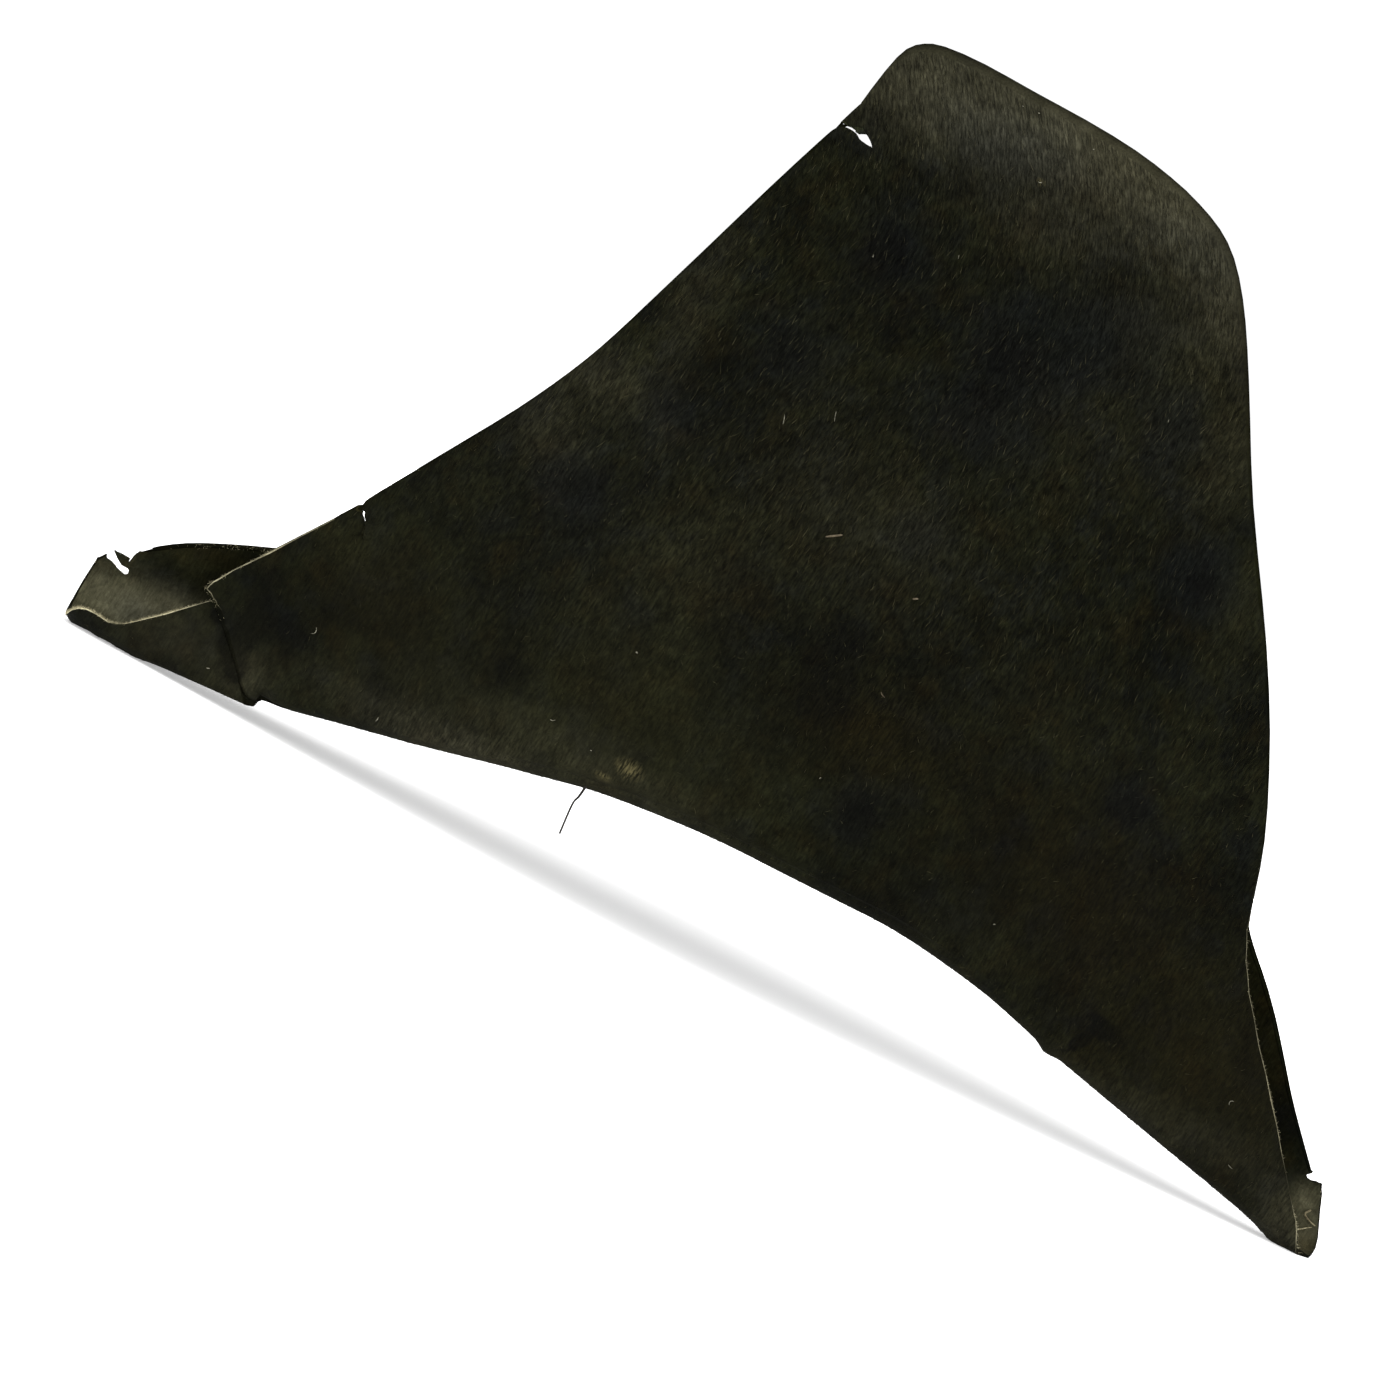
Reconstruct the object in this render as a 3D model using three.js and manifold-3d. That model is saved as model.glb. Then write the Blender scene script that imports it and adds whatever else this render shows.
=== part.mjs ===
// A bicorne hat of fur felt, worn fore and aft, standing on its two tips as it rests on a table.
// One felt makes the crown and the brim. The brim's two sides are turned up into a tall near flap and a
// lower far flap, and its ends run out into a front and a rear tip, open at the top like gutters.
// The near flap is torn through beside the front tip, and the flaps' edges are nicked in four places.
// Millimetres, +Z up. X runs from the front tip to the rear tip, and the near flap is on the -Y side.
// Sizes are measured from the front tip, on the centre line and the resting plane. Last of all, the hat
// is moved so that the origin lies under the middle of its box.
import * as THREE from 'three';
import Module from 'manifold-3d';
import { mergeVertices } from 'three/addons/utils/BufferGeometryUtils.js';

const wasm = await Module();
wasm.setup();

// Driving sizes
const FELT = 2; // thickness of the felt
const WALL = FELT / 2; // from the felt's middle to either face
const FOLD_RADIUS = 7; // of the felt's middle, where the brim turns up into a flap
const TIP_FOLD_SHARE = 0.5; // of the half width, which is as much as the fold takes at a tip
const FILLET_RADIUS = 4; // of the felt's middle, where the crown turns out into the brim
const CROWN = { x: 252, halfLength: 100, halfWidth: 81, top: 152 }; // the felt's middle
const LEAN_HEIGHT = 290; // rise of a flap over which LEAN runs from 0 to 1
const REST_BAND = 0.6; // underside lower than this is pressed flat on the resting plane

// The brim's underside along the hat. halfWidth is out to a flap's outer face, foldZ the height of the
// fold's underside, and keelZ the height of the underside on the centre line.
const BRIM = [
  { x: -3, halfWidth: 11, foldZ: 3.6, keelZ: 2.6 },
  { x: 4, halfWidth: 13, foldZ: 0.5, keelZ: 0 },
  { x: 12, halfWidth: 16, foldZ: 0.3, keelZ: 0 },
  { x: 30, halfWidth: 21.5, foldZ: 0.6, keelZ: 0 },
  { x: 42, halfWidth: 26, foldZ: 2.4, keelZ: 0.9 },
  { x: 57, halfWidth: 31, foldZ: 5, keelZ: 3.2 },
  { x: 75, halfWidth: 37.5, foldZ: 7.5, keelZ: 6.4 },
  { x: 98, halfWidth: 47, foldZ: 13.5, keelZ: 12.4 },
  { x: 135, halfWidth: 63.5, foldZ: 22.6, keelZ: 21.7 },
  { x: 171, halfWidth: 79.5, foldZ: 32.3, keelZ: 31.6 },
  { x: 206, halfWidth: 91, foldZ: 40.1, keelZ: 39.6 },
  { x: 252, halfWidth: 97, foldZ: 43.9, keelZ: 43.5 },
  { x: 302, halfWidth: 91.5, foldZ: 43.7, keelZ: 43.2 },
  { x: 343, halfWidth: 77, foldZ: 38.2, keelZ: 37.2 },
  { x: 380, halfWidth: 60, foldZ: 27.8, keelZ: 26.8 },
  { x: 425, halfWidth: 38.5, foldZ: 16, keelZ: 15 },
  { x: 470, halfWidth: 18.5, foldZ: 4.6, keelZ: 3.9 },
  { x: 484, halfWidth: 12.8, foldZ: 0.5, keelZ: 0 },
  { x: 499, halfWidth: 10, foldZ: 0.4, keelZ: 0 },
];

// How a flap leans in as it rises: share is its distance from the centre line over that at the fold.
const LEAN = [
  { rise: 0, share: 1 },
  { rise: 0.12, share: 0.985 },
  { rise: 0.26, share: 0.9 },
  { rise: 0.4, share: 0.755 },
  { rise: 0.58, share: 0.53 },
  { rise: 0.78, share: 0.31 },
  { rise: 1, share: 0.16 },
  { rise: 1.2, share: 0.1 },
];

// The far flap's crease beside the tips, at its rise above the fold. Up to the crease the flap flares
// out, and above it the flap hangs in over the gutter, both as a slope from the upright.
const CREASE = [
  { x: -3, rise: 13, flare: 0.1, hang: 0.2 },
  { x: 10, rise: 14.5, flare: 0.14, hang: 0.5 },
  { x: 24, rise: 17.5, flare: 0.15, hang: 0.75 },
  { x: 50, rise: 21, flare: 0.12, hang: 0.75 },
  { x: 85, rise: 24, flare: 0.05, hang: 0.35 },
  { x: 125, rise: 24, flare: 0, hang: 0 },
  { x: 375, rise: 24, flare: 0, hang: 0 },
  { x: 425, rise: 20, flare: 0.05, hang: 0.2 },
  { x: 465, rise: 17, flare: 0.12, hang: 0.4 },
  { x: 499, rise: 15, flare: 0.12, hang: 0.3 },
];

// Soft dents, as wide along and up the flap as reachX and reachZ. depth goes towards the centre line.
const DENTS = [
  { side: -1, x: 205, z: 205, reachX: 34, reachZ: 60, depth: 2.5 },
  { side: -1, x: 300, z: 215, reachX: 38, reachZ: 46, depth: 3 },
  { side: -1, x: 262, z: 120, reachX: 60, reachZ: 34, depth: -2 },
  { side: -1, x: 386, z: 44, reachX: 9, reachZ: 20, depth: 2 },
  { side: -1, x: 398, z: 118, reachX: 16, reachZ: 40, depth: 2.4 },
  { side: -1, x: 88, z: 40, reachX: 12, reachZ: 26, depth: 1.6 },
  { side: 1, x: 190, z: 130, reachX: 40, reachZ: 50, depth: 3 },
  { side: 1, x: 320, z: 120, reachX: 45, reachZ: 40, depth: 2.6 },
  { side: 1, x: 250, z: 200, reachX: 50, reachZ: 24, depth: -2.4 },
];

// The crown from its top to the head opening: reach is a share of the opening's size, height of the crown's
const CROWN_PROFILE = [
  { reach: 0.24, height: 0.99 },
  { reach: 0.46, height: 0.955 },
  { reach: 0.66, height: 0.88 },
  { reach: 0.82, height: 0.75 },
  { reach: 0.92, height: 0.56 },
  { reach: 0.97, height: 0.34 },
  { reach: 1, height: 0.12 },
];

// The felt's outer edge, all the way round. Each row is a radial line of the brim: it crosses the fold
// at foldX and ends at the edge, at x and at the side-view height z. At a tip's open end it ends on the
// bottom instead, y from the centre line.
const NEAR_FLAP_EDGE = [
  { foldX: 75.2, x: 42, z: 37 },
  { foldX: 93, x: 69.7, z: 77 },
  { foldX: 113, x: 106.4, z: 134 },
  { foldX: 124, x: 121.4, z: 161.6 },
  { foldX: 135, x: 132.4, z: 188.6 },
  { foldX: 157, x: 153.9, z: 250.9 },
  { foldX: 174, x: 168.4, z: 292 },
  { foldX: 186, x: 174, z: 315.2 },
  { foldX: 197, x: 185.5, z: 322.6 },
  { foldX: 222, x: 220.3, z: 323.6 },
  { foldX: 250, x: 262, z: 321 },
  { foldX: 275, x: 289.7, z: 314 },
  { foldX: 296, x: 309.5, z: 302 },
  { foldX: 316, x: 328.3, z: 276.5 },
  { foldX: 340, x: 354.8, z: 230 },
  { foldX: 366, x: 389.4, z: 173.8 },
  { foldX: 390, x: 412.2, z: 126.8 },
  { foldX: 407, x: 421.7, z: 96 },
  { foldX: 423, x: 432.3, z: 77 },
  { foldX: 444, x: 457.8, z: 45.5 },
  { foldX: 461, x: 479, z: 19 },
  { foldX: 468, x: 487.6, z: 8.6 },
];
const REAR_END = [
  { foldX: 471, x: 491.4, y: -6 },
  { foldX: 472, x: 493.6, y: -2 },
  { foldX: 472, x: 495.4, y: 3 },
  { foldX: 471, x: 496.8, z: 5 },
  { foldX: 468, x: 495, z: 12 },
  { foldX: 464, x: 492.4, z: 18.5 },
  { foldX: 460, x: 489.4, z: 25 },
];
const FAR_FLAP_EDGE = [
  { foldX: 456, x: 483.6, z: 27.6 },
  { foldX: 446, x: 464, z: 49 },
  { foldX: 431, x: 441.5, z: 77.5 },
  { foldX: 413, x: 422.5, z: 96.5 },
  { foldX: 387, x: 398, z: 131 },
  { foldX: 358, x: 368, z: 172 },
  { foldX: 330, x: 338, z: 202 },
  { foldX: 300, x: 306, z: 223 },
  { foldX: 268, x: 270, z: 233 },
  { foldX: 236, x: 232, z: 234 },
  { foldX: 206, x: 198, z: 224 },
  { foldX: 180, x: 170, z: 201 },
  { foldX: 156, x: 146, z: 166 },
  { foldX: 132, x: 122, z: 122 },
  { foldX: 108, x: 94, z: 80 },
  { foldX: 84, x: 69, z: 61.5 },
  { foldX: 62, x: 46.5, z: 52 },
  { foldX: 45, x: 25.5, z: 42.5 },
  { foldX: 35, x: 11, z: 32.6 },
];
const FRONT_END = [
  { foldX: 30, x: 4.2, z: 30.4 },
  { foldX: 26, x: -0.8, z: 23 },
  { foldX: 22, x: -1.6, z: 15 },
  { foldX: 20, x: -1.8, z: 7.5 },
  { foldX: 20, x: -1.5, y: 5 },
  { foldX: 20, x: -0.8, y: 0 },
  { foldX: 20, x: 0, y: -5 },
];
const FRONT_PIECE_EDGE = [
  { foldX: 20.5, x: 1.4, z: 5.4 },
  { foldX: 25, x: 6.3, z: 8.1 },
  { foldX: 31, x: 15.1, z: 7.4 },
  { foldX: 38, x: 20.9, z: 9.5 },
  { foldX: 50, x: 32.1, z: 19.9 },
  { foldX: 64, x: 43.3, z: 31.4 },
  { foldX: 74.3, x: 49.4, z: 37.3 },
];

// The tear beside the front tip. The front piece sinks at the fold and tucks in behind the near flap.
const TEAR = {
  rootInset: 2.5, // from the fold to where the tear ends in the brim's bottom
  sinkReach: 4.5, // from there to where the front piece has sunk all the way
  drop: 2.8,
  dropFromX: 24,
  dropToX: 74,
  tuck: 3.4,
  tuckFromX: 22,
  tuckToX: 38,
  tuckHeadRise: 6,
};

// Slits and notches in the flaps' edges, drawn in the side view as [x, z]
const SLIT_BELOW_THE_PEAK = [
  [160, 284.6],
  [160, 283],
  [168.6, 282.3],
  [171.8, 282],
  [173.6, 280.7],
  [176.6, 280.2],
  [179, 280.4],
  [177.4, 282.6],
  [175, 283.9],
  [172.4, 283.3],
  [168.6, 282.9],
];
const NICK_NEAR_THE_FRONT = [
  [74.6, 88],
  [76.2, 88.6],
  [78.6, 84.4],
  [81.6, 82.2],
  [83, 76.5],
  [80.6, 81.6],
  [77.6, 83.9],
];
const NOTCH_AT_THE_FRONT_TIP = [
  [-2, 30],
  [2.3, 25.1],
  [4.3, 24.9],
  [7.3, 23.3],
  [9.8, 22.5],
  [11.1, 23.3],
  [10.6, 25.1],
  [7.7, 25.3],
  [5.6, 26.8],
  [3.7, 28.6],
  [1.5, 33],
];
const GAP_OVER_THE_FRONT_SCRAP = [
  [1, 35],
  [3.7, 29],
  [8.5, 28.9],
  [9.2, 28.3],
  [9.7, 26.6],
  [10, 28.1],
  [10.6, 30.1],
  [12.5, 32.9],
  [14.9, 35.5],
  [18, 42],
  [7, 42],
];
const NOTCH_AT_THE_REAR_TIP = [
  [483.2, 25.2],
  [484.9, 27.3],
  [493, 31],
  [494, 25.6],
  [488.8, 24.9],
  [485.6, 24.2],
];

// Steps of the mesh
const CURVED_EDGE_STEPS = 2;
const RINGS = { fillet: 3, brim: 5, fold: 4, flap: 8 };
const TEAR_ROOT_STEP = 4; // the tear's root is this step of the brim
const LOW_EDGE = { flatShare: 0.7, foldShare: 0.4 }; // how a line is shared out where its edge is low

const mix = (a, b, t) => a + (b - a) * t;
const smoothStep = (from, to, value) => THREE.MathUtils.smoothstep(value, from, to);

// A table's column as a smooth function of its key, that never swings past the rows
function curve(rows, key, column) {
  const at = rows.map((row) => row[key]);
  const value = rows.map((row) => row[column]);
  const slope = at.slice(1).map((x, i) => (value[i + 1] - value[i]) / (x - at[i]));
  const tangent = value.map((_, i) => {
    if (i === 0 || i === value.length - 1) return slope[Math.max(0, i - 1)];
    const [before, after] = [slope[i - 1], slope[i]];
    return before * after <= 0 ? 0 : (2 * before * after) / (before + after);
  });
  return (x) => {
    let i = 0;
    while (i < at.length - 2 && x > at[i + 1]) i += 1;
    const span = at[i + 1] - at[i];
    const t = THREE.MathUtils.clamp((x - at[i]) / span, 0, 1);
    const rest = 1 - t;
    return (
      value[i] * (1 + 2 * t) * rest * rest +
      tangent[i] * span * t * rest * rest +
      value[i + 1] * (3 - 2 * t) * t * t -
      tangent[i + 1] * span * t * t * rest
    );
  };
}

const outerHalfWidth = curve(BRIM, 'x', 'halfWidth');
const foldUnderside = curve(BRIM, 'x', 'foldZ');
const keelUnderside = curve(BRIM, 'x', 'keelZ');
const leanShare = curve(LEAN, 'rise', 'share');
const creaseRise = curve(CREASE, 'x', 'rise');
const creaseFlare = curve(CREASE, 'x', 'flare');
const creaseHang = curve(CREASE, 'x', 'hang');

// The felt's middle across the hat at x. Reach is the way out along the felt from the centre line: it
// runs flat to foldStart, turns up round the fold to foldEnd, and then climbs the flap.
function section(x) {
  const halfWidth = outerHalfWidth(x) - WALL;
  const radius = Math.min(FOLD_RADIUS, halfWidth * TIP_FOLD_SHARE);
  const foldStart = halfWidth - radius;
  return {
    halfWidth,
    radius,
    foldStart,
    foldEnd: foldStart + (Math.PI / 2) * radius,
    foldZ: foldUnderside(x) + WALL,
    keelZ: keelUnderside(x) + WALL,
  };
}

// The reach at which the felt's middle stands z high in the side view
function reachAtHeight(x, z) {
  const { radius, foldStart, foldEnd, foldZ } = section(x);
  const rise = z - foldZ;
  if (rise >= radius) return foldEnd + rise - radius;
  return foldStart + radius * Math.acos(1 - Math.max(0, rise) / radius);
}

// How far the far flap's crease moves it in, at a rise above the fold's turn
function creaseInset(x, rise) {
  const crease = creaseRise(x);
  return creaseHang(x) * Math.max(0, rise - crease) - creaseFlare(x) * Math.min(rise, crease);
}

function dentInset(side, x, z) {
  return DENTS.filter((dent) => dent.side === side).reduce((inset, dent) => {
    const away = ((x - dent.x) / dent.reachX) ** 2 + ((z - dent.z) / dent.reachZ) ** 2;
    return inset + dent.depth * Math.exp(-away);
  }, 0);
}

// A point of the brim's felt middle. side is -1 on the near flap and 1 on the far one.
function brimPoint(x, reach, side, onFrontPiece) {
  const { halfWidth, radius, foldStart, foldEnd, foldZ, keelZ } = section(x);
  let y = reach;
  let z = mix(keelZ, foldZ, Math.min(1, reach / foldStart) ** 2);
  if (reach > foldEnd) {
    const rise = reach - foldEnd;
    z = foldZ + radius + rise;
    y = halfWidth * leanShare(rise / LEAN_HEIGHT) - dentInset(side, x, z) * smoothStep(0, radius, rise);
    if (side > 0) y -= creaseInset(x, rise);
  } else if (reach > foldStart) {
    const turn = (reach - foldStart) / radius;
    y = foldStart + radius * Math.sin(turn);
    z = foldZ + radius * (1 - Math.cos(turn));
  }
  if (onFrontPiece) {
    const tucked = smoothStep(0, TEAR.tuckHeadRise, z - foldZ);
    y -= TEAR.tuck * tucked * smoothStep(TEAR.tuckFromX, TEAR.tuckToX, x);
    const root = foldStart - TEAR.rootInset;
    const sunk = smoothStep(root, root + TEAR.sinkReach, reach);
    z -= TEAR.drop * sunk * smoothStep(TEAR.dropFromX, TEAR.dropToX, x);
  }
  return new THREE.Vector3(x, side * y, z);
}

// The crown's oval at an angle, grown outward
const ovalX = (angle, grown) => CROWN.x + (CROWN.halfLength + grown) * Math.cos(angle);
const ovalY = (angle, grown) => (CROWN.halfWidth + grown) * Math.sin(angle);

// The crown's share of a radial line, from beside the crown's top to the brim
function crownLine(angle) {
  const foot = brimPoint(ovalX(angle, FILLET_RADIUS), Math.abs(ovalY(angle, FILLET_RADIUS)), 1, false).z;
  const wallFoot = foot + FILLET_RADIUS;
  const points = CROWN_PROFILE.map(({ reach, height }) => {
    const z = mix(wallFoot, CROWN.top - WALL, height);
    return new THREE.Vector3(mix(CROWN.x, ovalX(angle, 0), reach), ovalY(angle, 0) * reach, z);
  });
  for (let i = 1; i <= RINGS.fillet; i += 1) {
    const turn = ((Math.PI / 2) * i) / RINGS.fillet;
    const grown = FILLET_RADIUS * (1 - Math.cos(turn));
    const z = wallFoot - FILLET_RADIUS * Math.sin(turn);
    points.push(new THREE.Vector3(ovalX(angle, grown), ovalY(angle, grown), z));
  }
  return points;
}

// One radial line of the felt's middle, from beside the crown's top to the felt's edge
function radialLine({ foldX, x, y, z, side, onFrontPiece }) {
  const edge = { x, reach: y === undefined ? reachAtHeight(x, z) : Math.abs(y) };
  const { foldStart, foldEnd } = section(foldX);
  const flat = { x: foldX, reach: Math.min(foldStart, edge.reach * LOW_EDGE.flatShare) };
  const turned = { reach: Math.min(foldEnd, mix(flat.reach, edge.reach, LOW_EDGE.foldShare)) };
  const turnedShare = edge.reach > flat.reach ? (turned.reach - flat.reach) / (edge.reach - flat.reach) : 0.5;
  turned.x = mix(foldX, x, turnedShare);
  const angle = Math.atan2(
    (side * flat.reach) / (CROWN.halfWidth + FILLET_RADIUS),
    (foldX - CROWN.x) / (CROWN.halfLength + FILLET_RADIUS),
  );
  const foot = { x: ovalX(angle, FILLET_RADIUS), reach: Math.abs(ovalY(angle, FILLET_RADIUS)) };
  const points = crownLine(angle);
  const legs = [
    { steps: RINGS.brim, from: foot, to: flat },
    { steps: RINGS.fold, from: flat, to: turned },
    { steps: RINGS.flap, from: turned, to: edge },
  ];
  for (const { steps, from, to } of legs) {
    for (let i = 1; i <= steps; i += 1) {
      const t = i / steps;
      points.push(brimPoint(mix(from.x, to.x, t), mix(from.reach, to.reach, t), side, onFrontPiece));
    }
  }
  return points;
}

// The radial lines of one stretch of the felt's edge, with its rows as they are
function straightStretch(rows, side, onFrontPiece) {
  return rows.map((row) => radialLine({ side: row.y < 0 ? -1 : side, onFrontPiece, ...row }));
}

// The same with a smooth curve put through the rows
function curvedStretch(rows, side) {
  const corners = rows.map(({ foldX, x, z }) => new THREE.Vector3(foldX, x, z));
  const path = new THREE.CatmullRomCurve3(corners, false, 'centripetal');
  const count = (rows.length - 1) * CURVED_EDGE_STEPS;
  return Array.from({ length: count + 1 }, (_, i) => {
    const at = path.getPoint(i / count);
    return radialLine({ foldX: at.x, x: at.y, z: at.z, side, onFrontPiece: false });
  });
}

function solidOf(positions, triangles) {
  const mesh = new wasm.Mesh({
    numProp: 3,
    vertProperties: new Float32Array(positions),
    triVerts: new Uint32Array(triangles),
  });
  return new wasm.Manifold(mesh);
}

// A quad as two triangles, parted on its shorter diagonal
function quadFaces(points, [a, b, c, d]) {
  if (points[a].distanceTo(points[c]) < points[b].distanceTo(points[d])) {
    return [
      [a, b, c],
      [a, c, d],
    ];
  }
  return [
    [a, b, d],
    [b, c, d],
  ];
}

// A closed solid of the felt's thickness round a middle surface. The surface is given by radial lines
// from one top point. The first and last lines are one up to rootRing, and apart beyond it.
function feltSolid(top, lines, rootRing) {
  const rings = lines[0].length;
  const last = lines.length - 1;
  const middle = [top];
  const index = lines.map((line, i) =>
    line.map((point, ring) => {
      if (i === last && ring <= rootRing) return 1 + ring;
      return middle.push(point) - 1;
    }),
  );
  const faces = [];
  for (let i = 0; i < last; i += 1) {
    const [here, next] = [index[i], index[i + 1]];
    faces.push([0, here[0], next[0]]);
    for (let ring = 1; ring < rings; ring += 1) {
      faces.push(...quadFaces(middle, [here[ring - 1], here[ring], next[ring], next[ring - 1]]));
    }
  }
  const normals = middle.map(() => new THREE.Vector3());
  for (const [a, b, c] of faces) {
    const along = middle[b].clone().sub(middle[a]);
    const normal = along.cross(middle[c].clone().sub(middle[a]));
    for (const corner of [a, b, c]) normals[corner].add(normal);
  }
  const upper = middle.map((point, i) => point.clone().addScaledVector(normals[i].normalize(), WALL));
  const under = middle.map((point, i) => point.clone().addScaledVector(normals[i], -WALL));
  for (const point of under) {
    if (point.z < REST_BAND) point.z = 0;
  }
  const rim = [];
  for (let ring = rootRing; ring < rings; ring += 1) rim.push(index[0][ring]);
  for (let i = 1; i <= last; i += 1) rim.push(index[i][rings - 1]);
  for (let ring = rings - 2; ring > rootRing; ring -= 1) rim.push(index[last][ring]);

  const step = middle.length; // from a point of the upper skin to its partner in the under skin
  const triangles = faces.flatMap(([a, b, c]) => [a, b, c, a + step, c + step, b + step]);
  rim.forEach((a, i) => {
    const b = rim[(i + 1) % rim.length];
    triangles.push(b, a, a + step, b, a + step, b + step);
  });
  return solidOf([...upper, ...under].flatMap((point) => point.toArray()), triangles);
}

// A prism across one flap, with its outline drawn in the side view
function flapCutter(outline, side) {
  const shape = new THREE.Shape(outline.map(([x, z]) => new THREE.Vector2(x, z)));
  const depth = outerHalfWidth(CROWN.x) + FELT;
  const prism = new THREE.ExtrudeGeometry(shape, { depth, bevelEnabled: false });
  prism.rotateX(Math.PI / 2).translate(0, side > 0 ? depth : 0, 0);
  prism.deleteAttribute('normal');
  prism.deleteAttribute('uv');
  const merged = mergeVertices(prism);
  return solidOf(merged.attributes.position.array, merged.index.array);
}

function makeFelt() {
  const lines = [
    ...curvedStretch(NEAR_FLAP_EDGE, -1),
    ...straightStretch(REAR_END, 1, false),
    ...curvedStretch(FAR_FLAP_EDGE, 1),
    ...straightStretch(FRONT_END, 1, false),
    ...straightStretch(FRONT_PIECE_EDGE, -1, true),
  ];
  const rootRing = CROWN_PROFILE.length + RINGS.fillet + TEAR_ROOT_STEP - 1;
  const top = new THREE.Vector3(CROWN.x, 0, CROWN.top - WALL);
  return feltSolid(top, lines, rootRing)
    .subtract(flapCutter(SLIT_BELOW_THE_PEAK, -1))
    .subtract(flapCutter(NICK_NEAR_THE_FRONT, -1))
    .subtract(flapCutter(NOTCH_AT_THE_FRONT_TIP, 1))
    .subtract(flapCutter(GAP_OVER_THE_FRONT_SCRAP, 1))
    .subtract(flapCutter(NOTCH_AT_THE_REAR_TIP, 1));
}

// A solid as a geometry with the origin under the middle of its box
function groundedGeometry(solid) {
  const { vertProperties, triVerts } = solid.getMesh();
  const geometry = new THREE.BufferGeometry();
  geometry.setAttribute('position', new THREE.BufferAttribute(vertProperties, 3));
  geometry.setIndex(new THREE.BufferAttribute(triVerts, 1));
  geometry.computeBoundingBox();
  const centre = geometry.boundingBox.getCenter(new THREE.Vector3());
  geometry.translate(-centre.x, -centre.y, -geometry.boundingBox.min.z);
  geometry.computeVertexNormals();
  return geometry;
}

const blackFelt = new THREE.MeshStandardMaterial({ color: 0x1c1a12, roughness: 0.95, metalness: 0 });
const feltBody = new THREE.Mesh(groundedGeometry(makeFelt()), blackFelt);
feltBody.name = 'felt_body';

const hat = new THREE.Group();
hat.add(feltBody);
export default hat;
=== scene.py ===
"""A bicorne hat of worn, napped fur felt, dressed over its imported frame.

Metres, +Z up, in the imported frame: +X runs to the rear tip, the tall near flap is on the -Y side, and
the hat rests on z = 0. Tables give places as seen from the side, in millimetres, as their names say.
"""

import logging
import math
from collections.abc import Iterable, Sequence
from dataclasses import dataclass, field
from enum import Enum, IntEnum

import bmesh
import bpy
import numpy as np
from bmesh.types import BMEdge, BMesh, BMFace, BMVert
from bpy.types import Material, Mesh, NodeSocket as Socket, Object
from mathutils import Matrix, Vector, noise
from mathutils.bvhtree import BVHTree

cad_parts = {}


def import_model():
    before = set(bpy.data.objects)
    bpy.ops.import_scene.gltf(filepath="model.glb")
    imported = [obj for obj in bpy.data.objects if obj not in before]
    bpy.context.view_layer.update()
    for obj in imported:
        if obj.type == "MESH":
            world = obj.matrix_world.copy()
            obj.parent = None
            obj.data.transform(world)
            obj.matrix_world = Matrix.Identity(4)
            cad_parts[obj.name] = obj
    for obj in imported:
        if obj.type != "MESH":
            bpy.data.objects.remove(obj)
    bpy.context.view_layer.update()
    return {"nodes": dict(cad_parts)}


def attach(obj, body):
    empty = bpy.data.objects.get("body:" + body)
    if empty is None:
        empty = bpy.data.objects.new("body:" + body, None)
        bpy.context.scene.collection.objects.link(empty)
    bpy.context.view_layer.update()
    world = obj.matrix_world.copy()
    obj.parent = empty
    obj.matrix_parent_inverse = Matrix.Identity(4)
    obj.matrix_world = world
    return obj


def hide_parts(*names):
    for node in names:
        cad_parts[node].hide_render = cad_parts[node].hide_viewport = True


LOG = logging.getLogger("bicorne_hat")

MM = 0.001
FELT_NODE = "felt_body"
BODY = "root"
SIDE_FADE = 0.004  # Half the width, round the middle, over which the flaps' tables change over
IN_FRONT = -0.3  # Where a ray at the near flap starts
SHADE_CURVE = 1.6  # Over 1, more of the hairs are dark than light
NAP_CHANGE = 0.14  # The height over which the near flap's nap is the long one
SPOT_FADE = (1.0, 0.2)  # The shares of a spot's reach at which it starts and is full
WHITE = (1.0, 1.0, 1.0)

Colour = tuple[float, float, float]
Range = tuple[float, ...]


def srgb(red: int, green: int, blue: int) -> Colour:
    """Turns a screen colour into a linear one."""

    def linear(value: int) -> float:
        """Undoes the screen's curve for one channel."""
        share = value / 255
        return share / 12.92 if share <= 0.04045 else ((share + 0.055) / 1.055) ** 2.4

    return (linear(red), linear(green), linear(blue))


def smooth_step(low: float, high: float, value: np.ndarray) -> np.ndarray:
    """Rises softly from 0 to 1 between two values."""
    share = np.clip((value - low) / (high - low), 0, 1)
    return share * share * (3 - 2 * share)


class Side(Enum):
    """The flap that a place is on, by the sign of its Y."""

    NEAR = -1
    FAR = 1


FAR = Side.FAR


class Skin(IntEnum):
    """The felt's faces, as the slots of their materials."""

    OUTSIDE = 0
    INSIDE = 1
    CUT = 2


@dataclass(frozen=True)
class Patch:
    """A soft-edged place on a flap, in the side view, in millimetres."""

    x: float
    z: float
    reach_x: float
    reach_z: float
    amount: float
    side: Side = Side.NEAR

    def weigh(self, places: np.ndarray) -> np.ndarray:
        """Gives how strongly the patch is felt at each place."""
        away_x = (places[:, 0] - self.x * MM) / (self.reach_x * MM)
        away_z = (places[:, 2] - self.z * MM) / (self.reach_z * MM)
        here = smooth_step(-SIDE_FADE, SIDE_FADE, places[:, 1] * self.side.value)
        return self.amount * np.exp(-(away_x**2) - away_z**2) * here


@dataclass(frozen=True)
class ToneTable:
    """Where one skin of the felt is mossy, dusty or rim-lit (painted rim light), ashen, cool, browned, sooty or
    shaded (painted shade), and where it is rubbed smooth.
    """

    moss: tuple[Patch, ...]
    dust_and_rim_light: tuple[Patch, ...]
    ash: tuple[Patch, ...]
    cool: tuple[Patch, ...]
    rust: tuple[Patch, ...]
    soot_and_shade: tuple[Patch, ...]
    smooth: tuple[Patch, ...]


def patches(*rows: tuple) -> tuple[Patch, ...]:
    """Makes patches from rows of x, z, reach_x, reach_z, amount and, away from the near flap, the side."""
    return tuple(Patch(*row) for row in rows)


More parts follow.
